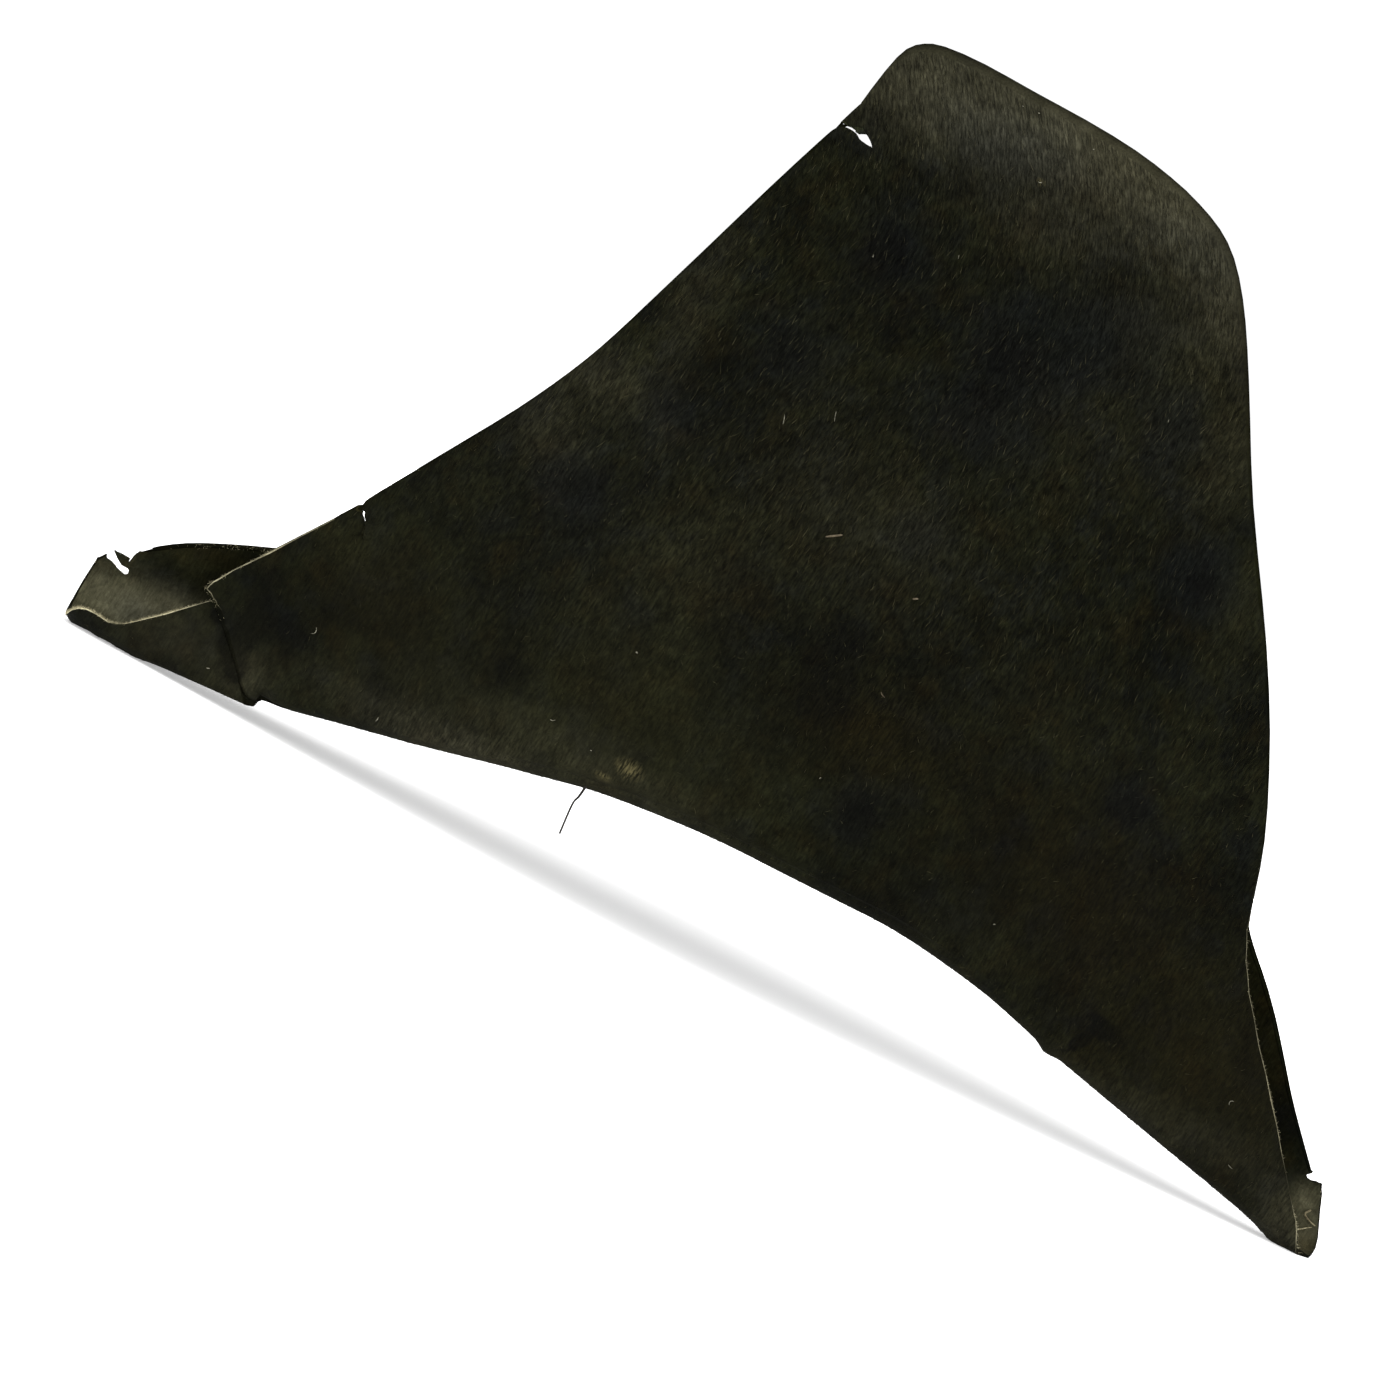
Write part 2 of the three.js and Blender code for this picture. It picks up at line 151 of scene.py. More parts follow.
OUTER_TONES = ToneTable(
    moss=patches(
        (-36, 68, 54, 28, 0.45), (-79, 91, 26, 16, 0.25), (-135, 109, 20, 14, 0.25), (-162, 72, 24, 14, 0.3),
        (-125, 45, 24, 12, 0.25), (-42, 204, 16, 14, 0.25), (82, 52, 24, 12, 0.25), (141, 24, 12, 6, 0.4),
        (-22, 172, 34, 24, 0.2), (-128, 69, 34, 20, 0.15), (-84, 40, 30, 14, 0.3), (97, 244, 9, 24, 0.5),
        (123, 198, 10, 34, 0.5), (72, 136, 30, 22, 0.2), (60, 262, 16, 12, 0.3), (206, 38, 30, 22, 0.25),
        (-40, 170, 50, 40, 0.2, FAR),
    ),
    # Dusty places, which along the top and lower edges are also painted rim light
    dust_and_rim_light=patches(
        (-62, 308, 30, 18, 0.7), (-8, 319, 44, 15, 0.85), (38, 312, 34, 17, 0.85), (0, 285, 26, 13, 0.3),
        (42, 271, 14, 10, 0.12), (72, 290, 18, 22, 0.62), (-124, 142, 16, 14, 0.24), (50, 226, 30, 24, 0.1),
        (92, 244, 12, 26, 0.16), (-120, 166, 18, 10, 0.4), (-98, 202, 9, 30, 0.22), (-62, 122, 30, 26, 0.08),
        (-10, 162, 44, 24, 0.15), (-208, 14, 32, 13, 0.23), (-180, 14, 8, 8, 0.35), (-104, 26, 50, 9, 0.35),
        (-82, 29, 26, 9, 0.3), (-52, 46, 44, 8, 0.29), (178, 22, 50, 8, 0.19), (236, 10, 12, 12, 0.5),
        (-120, 70, 60, 30, 0.3, FAR), (10, 225, 70, 18, 0.7, FAR), (-70, 170, 30, 40, 0.2, FAR),
        (110, 120, 50, 50, 0.25, FAR),
    ),
    ash=patches((-40, 304, 22, 11, 0.3), (-16, 309, 18, 9, 0.3), (46, 300, 20, 9, 0.25), (-90, 158, 14, 10, 0.12)),
    cool=patches(
        (14, 244, 26, 20, 0.7), (44, 262, 22, 14, 0.5), (8, 210, 30, 16, 0.5), (-44, 252, 16, 20, 0.5),
        (-61, 204, 20, 18, 0.5), (-22, 300, 34, 12, 0.5), (71, 240, 12, 16, 0.6), (104, 198, 16, 14, 0.8),
        (-106, 128, 16, 13, 0.6), (-88, 168, 14, 14, 0.4), (7, 168, 14, 12, 0.6), (33, 75, 14, 14, 0.6),
        (-96, 104, 20, 16, 0.18), (118, 118, 12, 12, 0.5), (-30, 120, 60, 60, 0.8, FAR),
        (80, 80, 40, 40, 0.6, FAR),
    ),
    rust=patches(
        (24, 101, 26, 14, 0.8), (-8, 319, 26, 10, 0.5), (-46, 122, 22, 16, 0.3), (124, 82, 30, 20, 0.5),
        (84, 96, 40, 34, 0.3), (180, 52, 56, 32, 0.6), (-62, 70, 26, 12, 0.4), (92, 270, 16, 24, 0.5),
        (-150, 60, 30, 20, 0.4), (20, 60, 80, 24, 0.5, FAR), (-150, 40, 50, 24, 0.6, FAR),
    ),
    # Sooty dark blotches, and painted shade: the patches round x 136 to 145, z 30 to 46 darken the crease, and those
    # from x -198 to -171 paint the shadow along and beside the tear
    soot_and_shade=patches(
        (-47, 248, 9, 11, 0.75), (-34, 230, 9, 9, 0.4), (-61, 204, 12, 9, 0.45), (-88, 168, 9, 8, 0.25),
        (9, 238, 12, 9, 0.65), (-12, 262, 12, 9, 0.4), (6, 219, 12, 8, 0.4), (105, 197, 9, 8, 0.5),
        (5, 108, 14, 13, 0.6), (-14, 124, 22, 12, 0.25), (120, 94, 32, 20, 0.22), (46, 74, 24, 16, 0.2),
        (-78, 140, 24, 12, 0.25), (-190, 30, 12, 9, 0.15), (-198, 28, 3, 3, 0.6), (-190, 21, 4, 4, 0.6),
        (-182, 14, 3, 4, 0.6), (136, 30.5, 2, 2, 0.4), (138.2, 34, 2.2, 2.2, 0.7), (140, 37.2, 2.4, 2.2, 0.85),
        (144.5, 42, 3.6, 2, 0.85), (141.5, 45.8, 3.5, 1.4, 0.7), (53, 64, 16, 12, 0.2), (4, 128, 12, 8, 0.35),
        (33, 75, 9, 9, 0.4), (60, 46, 16, 8, 0.4), (-96, 62, 10, 8, 0.5), (-171, 34, 11, 9, 0.55),
        (-106, 129, 10, 8, 0.35), (150, 43, 9, 6, 0.4), (118, 117, 8, 8, 0.3), (142, 74, 20, 14, 0.2),
        (-186, 32, 5, 26, 0.55), (-30, 160, 30, 20, 0.4, FAR),
    ),
    smooth=patches(
        (-215, 20, 50, 44, 1.0), (-150, 55, 46, 46, 0.6), (-70, 52, 56, 16, 0.55), (-24, 78, 62, 36, 0.55),
        (70, 60, 60, 36, 0.3), (114, 215, 15, 60, 0.6), (190, 40, 60, 50, 0.65), (90, 90, 46, 46, 0.35),
        (-190, 40, 60, 60, 0.8, FAR), (190, 50, 60, 60, 0.6, FAR),
    ),
)

INNER_TONES = ToneTable(
    moss=patches((-216, 37, 12, 6, 0.3, FAR)),
    ash=patches((-228, 12, 10, 6, 0.3, FAR)),
    # Paler low inside both tips and along the inside of the top edges
    dust_and_rim_light=patches(
        (-236, 12, 18, 10, 0.85, FAR), (-216, 19, 14, 8, 0.6, FAR), (-236, 8, 14, 6, 0.6),
        (239, 17, 6, 7, 0.6, FAR), (243, 8, 7, 7, 0.5, FAR), (240, 8, 8, 7, 0.5),
        (10, 225, 70, 18, 0.25, FAR), (10, 312, 70, 16, 0.3),
    ),
    cool=patches((0, 200, 70, 60, 0.6), (0, 160, 70, 60, 0.5, FAR)),
    rust=patches(
        (246, 4, 4, 4, 1.0, FAR), (-214, 44, 16, 6, 0.6, FAR), (-160, 80, 40, 30, 0.4),
        (200, 66, 30, 30, 0.4, FAR),
    ),
    # Painted shade inside the tips, where the far flap leans over the channel
    soot_and_shade=patches((-198, 34, 16, 8, 0.5, FAR), (218, 36, 10, 14, 0.35, FAR)),
    smooth=patches(
        (0, 100, 400, 400, 0.5), (0, 100, 400, 400, 0.5, FAR), (-225, 20, 50, 40, 0.5),
        (-225, 20, 50, 40, 0.5, FAR), (235, 20, 40, 60, 0.5), (235, 20, 40, 60, 0.5, FAR),
    ),
)

# How raw and pale the felt's cut or torn edge still is; under 1, the paleness ends before the inside skin
RAW_EDGE = patches(
    (-232, 12, 20, 16, 1.1), (-214, 19, 12, 12, 0.65), (-243, 7, 7, 7, 0.5), (-203, 31, 4, 4, 0.12),
    (-203, 41, 6, 6, 0.55), (-193, 54, 9, 12, 0.5), (-181, 71, 11, 14, 0.34), (-160, 98, 16, 18, 0.08),
    (186, 88, 24, 30, 0.3), (212, 44, 22, 28, 0.4), (241, 9, 9, 11, 0.38), (-205, 50, 26, 12, 0.3, FAR),
    (-243, 20, 8, 14, 0.4, FAR), (244, 16, 6, 12, 0.25, FAR),
)


def weigh_patches(table: Iterable[Patch], places: np.ndarray) -> np.ndarray:
    """Adds up the patches of one table at each place, from 0 to 1."""
    return np.clip(sum(patch.weigh(places) for patch in table), 0, 1)


@dataclass(frozen=True)
class NapFlow:
    """The way the nap lies: how hairs lean along X for each metre they run up a flap."""

    low_lean: float = 0.08
    top_lean: float = -0.85
    turn_from: float = 0.245
    turn_to: float = 0.33
    flat_from: float = 0.7
    flat_to: float = 0.35

    def lean(self, height: np.ndarray) -> np.ndarray:
        """Gives the lean at a height."""
        share = np.clip((height - self.turn_from) / (self.turn_to - self.turn_from), 0, 1)
        return self.low_lean + (self.top_lean - self.low_lean) * share

    def coordinates(self, places: np.ndarray, normals: np.ndarray) -> np.ndarray:
        """Gives pattern coordinates that run across and along the nap."""
        across_x, side, along = places.T
        over = np.clip(along - self.turn_from, 0, self.turn_to - self.turn_from)
        turned = (self.top_lean - self.low_lean) * over**2 / (2 * (self.turn_to - self.turn_from))
        drift = self.low_lean * along + turned
        flat = smooth_step(self.flat_from, self.flat_to, np.abs(normals[:, 1]))
        return np.column_stack((across_x - drift, side * flat, along))

    def directions(self, places: np.ndarray, normals: np.ndarray) -> np.ndarray:
        """Gives the way that a hair lies on the surface."""
        up = np.column_stack((self.lean(places[:, 2]), np.zeros(len(places)), np.ones(len(places))))
        outward = places * (1.0, 1.0, 0.0)
        outward /= np.maximum(np.linalg.norm(outward, axis=1, keepdims=True), 1e-6)
        flat = smooth_step(self.flat_from, self.flat_to, np.abs(normals[:, 1]))[:, None]
        lying = up * (1 - flat) + outward * flat
        lying -= normals * np.sum(lying * normals, axis=1, keepdims=True)
        return lying / np.maximum(np.linalg.norm(lying, axis=1, keepdims=True), 1e-6)


NAP_FLOW = NapFlow()


@dataclass(frozen=True)
class Pattern:
    """A soft random pattern: its features a metre, its finer layers, their strength, and its swirl."""

    scale: float
    detail: float = 3.0
    roughness: float = 0.6
    distortion: float = 0.0


class NodeSheet:
    """One material's nodes, with a Principled shader at their end."""

    def __init__(self, name: str) -> None:
        """Starts the material."""
        self.material = bpy.data.materials.new(name)
        self.material.use_nodes = True
        self.tree = self.material.node_tree
        self.tree.nodes.clear()
        self.shader = self._node("BsdfPrincipled")
        output = self._node("OutputMaterial")
        self.tree.links.new(self.shader.outputs["BSDF"], output.inputs["Surface"])

    def _node(self, kind: str) -> bpy.types.Node:
        """Adds a node of one kind."""
        return self.tree.nodes.new("ShaderNode" + kind)

    def feed(self, socket: Socket, value: object) -> None:
        """Links a socket, or sets its number or colour."""
        if isinstance(value, Socket):
            self.tree.links.new(value, socket)
        elif isinstance(value, tuple) and socket.type == "RGBA":
            socket.default_value = (*value, 1.0)
        else:
            socket.default_value = value

    def finish(self, **values: object) -> Material:
        """Feeds the shader's own sockets."""
        for name, value in values.items():
            self.feed(self.shader.inputs[name.replace("_", " ")], value)
        return self.material

    def places(self) -> Socket:
        """Gives the surface's place on the piece."""
        return self._node("TexCoord").outputs["Object"]

    def attribute(self, name: str, output: str = "Fac") -> Socket:
        """Reads a number, or a vector, that the mesh carries."""
        node = self._node("Attribute")
        node.attribute_name = name
        return node.outputs[output]

    def stretch(self, vector: Socket, scale: Colour) -> Socket:
        """Scales a vector along its three axes."""
        node = self._node("Mapping")
        self.feed(node.inputs["Vector"], vector)
        self.feed(node.inputs["Scale"], scale)
        return node.outputs["Vector"]

    def noise(self, vector: Socket, pattern: Pattern) -> Socket:
        """Makes a soft random pattern, mostly between 0.3 and 0.7."""
        node = self._node("TexNoise")
        self.feed(node.inputs["Vector"], vector)
        for name, value in vars(pattern).items():
            self.feed(node.inputs[name.capitalize()], value)
        return node.outputs["Fac"]

    def spread(
        self, value: Socket, low: float, high: float, to_low: float = 0.0, to_high: float = 1.0
    ) -> Socket:
        """Stretches a value's range over another."""
        node = self._node("MapRange")
        for socket, number in zip(node.inputs, (value, low, high, to_low, to_high)):
            self.feed(socket, number)
        return node.outputs["Result"]

    def calculate(self, operation: str, first: object, second: object) -> Socket:
        """Works out one step of arithmetic, such as ADD or MULTIPLY."""
        node = self._node("Math")
        node.operation = operation
        self.feed(node.inputs[0], first)
        self.feed(node.inputs[1], second)
        return node.outputs[0]

    def times(self, first: object, second: object) -> Socket:
        """Multiplies two values."""
        return self.calculate("MULTIPLY", first, second)

    def blend(self, share: object, first: object, second: object) -> Socket:
        """Mixes two colours."""
        node = self._node("Mix")
        node.data_type = "RGBA"
        colours = [socket for socket in node.inputs if socket.type == "RGBA"]
        self.feed(node.inputs[0], share)
        self.feed(colours[0], first)
        self.feed(colours[1], second)
        return next(socket for socket in node.outputs if socket.type == "RGBA")

    def scale_colour(self, colour: object, share: object) -> Socket:
        """Makes a colour lighter or darker by a share."""
        node = self._node("VectorMath")
        node.operation = "SCALE"
        self.feed(node.inputs[0], colour)
        self.feed(node.inputs["Scale"], share)
        return node.outputs["Vector"]

    def spot(self, centre: Colour, reach: Colour) -> Socket:
        """Makes a soft spot round one place on the piece."""
        shift = self._vector_step("SUBTRACT", self.places(), centre)
        size = self._vector_step("DIVIDE", shift.outputs["Vector"], reach)
        length = self._vector_step("LENGTH", size.outputs["Vector"])
        return self.spread(length.outputs["Value"], *SPOT_FADE)

    def _vector_step(self, operation: str, first: Socket, second: Colour = (0.0, 0.0, 0.0)) -> bpy.types.Node:
        """Works out one step of arithmetic on a vector, with a second one in millimetres."""
        node = self._node("VectorMath")
        node.operation = operation
        self.feed(node.inputs[0], first)
        node.inputs[1].default_value = [value * MM for value in second]
        return node

    def bump(self, height: object, strength: object, distance: float, below: object = None) -> Socket:
        """Raises a pattern off the surface."""
        node = self._node("Bump")
        self.feed(node.inputs["Strength"], strength)
        self.feed(node.inputs["Distance"], distance)
        self.feed(node.inputs["Height"], height)
        if below is not None:
            self.feed(node.inputs["Normal"], below)
        return node.outputs["Normal"]


@dataclass(frozen=True)
class FeltTone:
    """The felt's colours, which its skins and its nap share."""

    black: Colour = srgb(9, 10, 5)
    olive: Colour = srgb(17, 18, 8)
    cool: Colour = srgb(11, 13, 13)
    rust: Colour = srgb(19, 15, 4)
    # Dusty grey, also used as painted rim light along the flaps' edges
    dust_and_rim_light: Colour = srgb(60, 58, 44)
    ash: Colour = srgb(54, 55, 50)
    # Sooty black, also used as painted shade in the crease, beside the tear and inside the tips
    soot_and_shade: Colour = srgb(5, 5, 4)
    moss: Colour = srgb(34, 34, 19)
    clouds: Pattern = Pattern(26.0, 4.0)
    cloud_range: Range = (0.42, 0.58)
    hues: Pattern = Pattern(64.0)
    rusty_hues: Range = (0.52, 0.68)
    cool_hues: Range = (0.48, 0.34)
    most_hue: float = 0.5
    mottle: Pattern = Pattern(110.0, 4.0, 0.65)
    mottle_range: Range = (0.36, 0.64, 0.7, 1.32)
    uneven_range: Range = (0.34, 0.66, 0.58, 1.0)
    rags: Pattern = Pattern(90.0, 5.0, 0.7)
    rag_range: Range = (0.3, 0.7, -0.5, 0.5)
    raggedness: float = 0.28
    torn_range: Range = (0.14, 0.44)
    torn_share: float = 0.8
    torn_patches: tuple[str, ...] = ("cool", "soot_and_shade")

    def colour(self, sheet: NodeSheet) -> Socket:
        """Builds the cloudy black of old fur felt, with painted rim light and painted shade in its dusty and sooty
        patches.

        Args:
            sheet: The material it goes in.

        Returns:
            The colour.
        """
        places = sheet.places()
        clouds = sheet.spread(sheet.noise(places, self.clouds), *self.cloud_range)
        mottle = sheet.noise(places, self.mottle)
        hues = sheet.noise(places, self.hues)
        base = sheet.blend(clouds, self.black, self.olive)
        base = sheet.blend(sheet.spread(hues, *self.rusty_hues, 0.0, self.most_hue), base, self.rust)
        base = sheet.blend(sheet.spread(hues, *self.cool_hues, 0.0, self.most_hue), base, self.cool)
        base = sheet.scale_colour(base, sheet.spread(mottle, *self.mottle_range))
        uneven = sheet.spread(mottle, *self.uneven_range)
        rags = sheet.spread(sheet.noise(places, self.rags), *self.rag_range)
        # Besides the felt's own tone, the dusty patches paint rim light, and the sooty ones paint shade in the
        # crease, beside the tear and inside the tips
        for name in ("cool", "moss", "rust", "dust_and_rim_light", "ash", "soot_and_shade"):
            share = sheet.attribute(name)
            if name in self.torn_patches:
                torn = sheet.calculate("ADD", share, sheet.times(rags, self.raggedness))
                share = sheet.times(sheet.spread(torn, *self.torn_range), self.torn_share)
            base = sheet.blend(sheet.times(share, uneven), base, getattr(self, name))
        return base


@dataclass(frozen=True)
class NappedFelt:
    """The felt's outside: fine streaks of nap over a cloudy black."""

    name: str = "napped_felt"
    tone: FeltTone = FeltTone()
    pale: Colour = srgb(72, 67, 44)
    lightness: float = 1.0
    fibre_scale: Colour = (1350.0, 1350.0, 260.0)
    fibres: Pattern = Pattern(1.0, distortion=0.4)
    fibre_range: Range = (0.36, 0.66, 0.42, 1.62)
    fibre_bump: float = 0.8
    fibre_height: float = 0.00016
    tuft_scale: Colour = (420.0, 420.0, 110.0)
    tufts: Pattern = Pattern(1.0, distortion=1.2)
    tuft_range: Range = (0.34, 0.66, 0.74, 1.28)
    tuft_bump: float = 0.7
    tuft_height: float = 0.0006
    ruffles: Pattern = Pattern(560.0, 4.0, 0.65, 0.8)
    ruffle_range: Range = (0.34, 0.66, 0.8, 1.22)
    ruffle_bump: float = 0.5
    ruffle_height: float = 0.0003
    least_streak: float = 0.28
    worn_range: Range = (0.42, 0.6)
    roughness: float = 0.92
    sheen: float = 0.04
    sheen_roughness: float = 0.5
    sheen_tint: Colour = srgb(150, 150, 138)
    gloss: float = 0.04
    worn_spots: tuple[tuple[Colour, Colour], ...] = (
        ((-43.4, -90.0, 51.2), (6.8, 20.0, 4.4)),
        ((-50.2, -89.0, 44.8), (4.0, 20.0, 2.0)),
        ((-10.0, -26.0, 296.0), (2.4, 20.0, 2.0)),
    )

    def build(self) -> Material:
        """Builds the material.

        Returns:
            The material.
        """
        sheet = NodeSheet(self.name)
        nap = sheet.attribute("nap", "Vector")
        fibres = sheet.noise(sheet.stretch(nap, self.fibre_scale), self.fibres)
        tufts = sheet.noise(sheet.stretch(nap, self.tuft_scale), self.tufts)
        ruffles = sheet.noise(sheet.places(), self.ruffles)
        strength = sheet.spread(sheet.attribute("smooth"), 0.0, 1.0, 1.0, self.least_streak)
        streak = sheet.times(sheet.spread(fibres, *self.fibre_range), sheet.spread(tufts, *self.tuft_range))
        streak = sheet.times(sheet.calculate("SUBTRACT", streak, 1.0), strength)
        streak = sheet.calculate("ADD", streak, 1.0)
        streak = sheet.times(streak, sheet.spread(ruffles, *self.ruffle_range))
        colour = self.tone.colour(sheet)
        for centre, reach in self.worn_spots:
            spot = sheet.times(sheet.spot(centre, reach), sheet.spread(fibres, *self.worn_range))
            colour = sheet.blend(spot, colour, self.pale)
        low = sheet.bump(tufts, sheet.times(strength, self.tuft_bump), self.tuft_height)
        low = sheet.bump(ruffles, self.ruffle_bump, self.ruffle_height, low)
        return sheet.finish(
            Base_Color=sheet.scale_colour(colour, sheet.times(streak, self.lightness)),
            Roughness=self.roughness,
            Sheen_Weight=self.sheen,
            Sheen_Roughness=self.sheen_roughness,
            Sheen_Tint=self.sheen_tint,
            Specular_IOR_Level=self.gloss,
            Normal=sheet.bump(fibres, sheet.times(strength, self.fibre_bump), self.fibre_height, low),
        )


@dataclass(frozen=True)
class CutFelt:
    """The felt's cut and torn edges: dark with dirt and, along the tear, with painted shadow, or raw and pale from
    the outside inwards.
    """

    name: str = "cut_felt"
    tone: FeltTone = FeltTone()
    lightness: float = 1.05
    depth: float = 0.5
    raw: Colour = srgb(226, 218, 180)
    fluff: Pattern = Pattern(1500.0, roughness=0.7)
    fluff_range: Range = (0.3, 0.7, 0.6, 1.2)
    fluff_bump: float = 0.8
    fluff_height: float = 0.0003
    stains: Pattern = Pattern(240.0)
    stain_range: Range = (0.34, 0.6, 0.5, 1.1)
    soft_edge: float = 0.12
    roughness: float = 0.95
    gloss: float = 0.01

    def build(self) -> Material:
        """Builds the material.

        Returns:
            The material.
        """
        sheet = NodeSheet(self.name)
        fluff = sheet.noise(sheet.places(), self.fluff)
        stains = sheet.noise(sheet.places(), self.stains)
        raw = sheet.attribute("raw")
        left = sheet.calculate("SUBTRACT", sheet.times(raw, self.depth), sheet.attribute("across"))
        clean = sheet.times(raw, sheet.spread(stains, *self.stain_range))
        share = sheet.times(sheet.spread(left, 0.0, self.soft_edge), clean)
        # The felt's own tone, which along the tear carries painted shadow
        dirty_and_shaded = sheet.scale_colour(self.tone.colour(sheet), self.lightness)
        colour = sheet.blend(share, dirty_and_shaded, self.raw)
        return sheet.finish(
            Base_Color=sheet.scale_colour(colour, sheet.spread(fluff, *self.fluff_range)),
            Roughness=self.roughness,
            Specular_IOR_Level=self.gloss,
            Normal=sheet.bump(fluff, self.fluff_bump, self.fluff_height),
        )


@dataclass(frozen=True)
class NapHair:
    """The single hairs of the nap: most as dark as the felt under them, some with a greyed tip that is partly painted
    highlight.
    """

    name: str = "nap_hair"
    tone: FeltTone = FeltTone()
    warm_tip: Colour = srgb(62, 59, 34)
    cool_tip: Colour = srgb(54, 60, 58)
    pale_tip: Colour = srgb(98, 94, 70)
    lights: Range = (0.0, 0.6, 0.42, 1.55)
    greys: Range = (0.35, 1.0, 0.0, 0.5)
    pales: Range = (0.92, 0.98, 0.0, 0.6)
    calmest: float = 0.4
    roughness: float = 0.6
    gloss: float = 0.06

    def build(self) -> Material:
        """Builds the material.

        Returns:
            The material.
        """
        sheet = NodeSheet(self.name)
        shade = sheet.attribute("shade")
        calm = sheet.spread(sheet.attribute("smooth"), 0.0, 1.0, 1.0, self.calmest)
        light = sheet.calculate("SUBTRACT", sheet.spread(shade, *self.lights), 1.0)
        light = sheet.calculate("ADD", sheet.times(light, calm), 1.0)
        # Painted highlight: a warm or cool tint, chosen by the cool patches, stands in for light glancing off the
        # hairs
        highlight_grey = sheet.blend(sheet.attribute("cool"), self.warm_tip, self.cool_tip)
        own = sheet.scale_colour(self.tone.colour(sheet), light)
        highlighted = sheet.blend(sheet.times(sheet.spread(shade, *self.greys), calm), own, highlight_grey)
        pale = sheet.times(sheet.spread(shade, *self.pales), calm)
        return sheet.finish(
            Base_Color=sheet.blend(pale, highlighted, self.pale_tip),
            Roughness=self.roughness,
            Specular_IOR_Level=self.gloss,
        )


@dataclass(frozen=True)
class PlainFibre:
    """A fibre, straw or thread of one colour that varies along it."""

    name: str
    dark: Colour
    light: Colour
    scale: float = 900.0
    grain_range: Range = (0.35, 0.65)
    grain_bump: float = 0.5
    grain_height: float = 0.0001
    roughness: float = 0.7
    gloss: float = 0.3

    def build(self) -> Material:
        """Builds the material."""
        sheet = NodeSheet(self.name)
        grain = sheet.noise(sheet.places(), Pattern(self.scale))
        return sheet.finish(
            Base_Color=sheet.blend(sheet.spread(grain, *self.grain_range), self.dark, self.light),
            Roughness=self.roughness,
            Specular_IOR_Level=self.gloss,
            Normal=sheet.bump(grain, self.grain_bump, self.grain_height),
        )


STRAW = PlainFibre("straw", srgb(58, 49, 34), srgb(100, 90, 70))
LINT = PlainFibre("lint", srgb(78, 76, 62), srgb(150, 147, 128))
RAW_FIBRE = PlainFibre("raw_fibre", srgb(112, 104, 76), srgb(196, 188, 152))
BROWN_THREAD = PlainFibre("brown_thread", srgb(66, 55, 34), srgb(158, 149, 114), 260.0)
DARK_HAIR = PlainFibre("dark_hair", srgb(14, 12, 9), srgb(34, 28, 20))


def add_piece(name: str, mesh: Mesh, materials: Sequence[Material]) -> Object:
    """Puts a finished mesh in the scene, on the hat's body."""
    piece = bpy.data.objects.new(name, mesh)
    bpy.context.scene.collection.objects.link(piece)
    for material in materials:
        mesh.materials.append(material)
    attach(piece, BODY)
    return piece


def mesh_of(name: str, bm: BMesh) -> Mesh:
    """Turns a bmesh into a smooth-shaded mesh, and frees it."""
    mesh = bpy.data.meshes.new(name)
    bm.to_mesh(mesh)
    bm.free()
    mesh.shade_smooth()
    return mesh


def read_rows(items: Sequence[object], name: str, width: int = 1, kind: type = float) -> np.ndarray:
    """Reads one value, or one row of values, of every point, triangle or face of a mesh."""
    values = np.empty(len(items) * width, dtype=kind)
    items.foreach_get(name, values)
    return values if width == 1 else values.reshape(-1, width)


def read_places(mesh: Mesh) -> np.ndarray:
    """Gives a mesh's points as rows of x, y and z."""
    return read_rows(mesh.vertices, "co", 3)


def write_places(mesh: Mesh, places: np.ndarray) -> None:
    """Moves a mesh's points to rows of x, y and z."""
    mesh.vertices.foreach_set("co", places.ravel())
    mesh.update()


def write_numbers(mesh: Mesh, name: str, values: np.ndarray) -> None:
    """Stores a number, or a vector, on each of a mesh's points."""
    if values.ndim == 1:
        attribute = mesh.attributes.new(name, "FLOAT", "POINT")
        attribute.data.foreach_set("value", values.astype(np.float32))
    else:
        attribute = mesh.attributes.new(name, "FLOAT_VECTOR", "POINT")
        attribute.data.foreach_set("vector", values.astype(np.float32).ravel())


def write_tones(mesh: Mesh, places: np.ndarray, inner: np.ndarray) -> None:
    """Stores where the felt is mossy, dusty or rim-lit (painted rim light), ashen, cool, browned, sooty or shaded
    (painted shade), and smooth.
    """
    for name in ("moss", "dust_and_rim_light", "ash", "cool", "rust", "soot_and_shade", "smooth"):
        outside = weigh_patches(getattr(OUTER_TONES, name), places)
        inside = weigh_patches(getattr(INNER_TONES, name), places)
        write_numbers(mesh, name, np.where(inner, inside, outside))


class Span(Enum):
    """The part of the felt round its centre that a nudge moves."""

    ALL = "all"
    REARWARD = "rearward"
    ABOVE = "above"
    BELOW = "below"


@dataclass(frozen=True)
class Nudge:
    """A small place that is pushed out of line, in the side view, in millimetres."""

    x: float
    z: float
    reach_x: float
    reach_z: float
    push: tuple[float, float, float]
    span: Span = Span.ALL
    slope: float = 0.0
    side: Side = Side.NEAR

    def move(self, places: np.ndarray) -> np.ndarray:
        """Gives how far each place moves, in metres."""
        share = Patch(self.x, self.z, self.reach_x, self.reach_z, 1.0, self.side).weigh(places)
        behind = places[:, 0] - self.x * MM
        above = places[:, 2] - self.z * MM - self.slope * behind
        moved = {Span.REARWARD: behind > 0, Span.ABOVE: above > 0, Span.BELOW: above < 0}.get(self.span, 1.0)
        return (share * moved)[:, None] * np.array(self.push) * MM


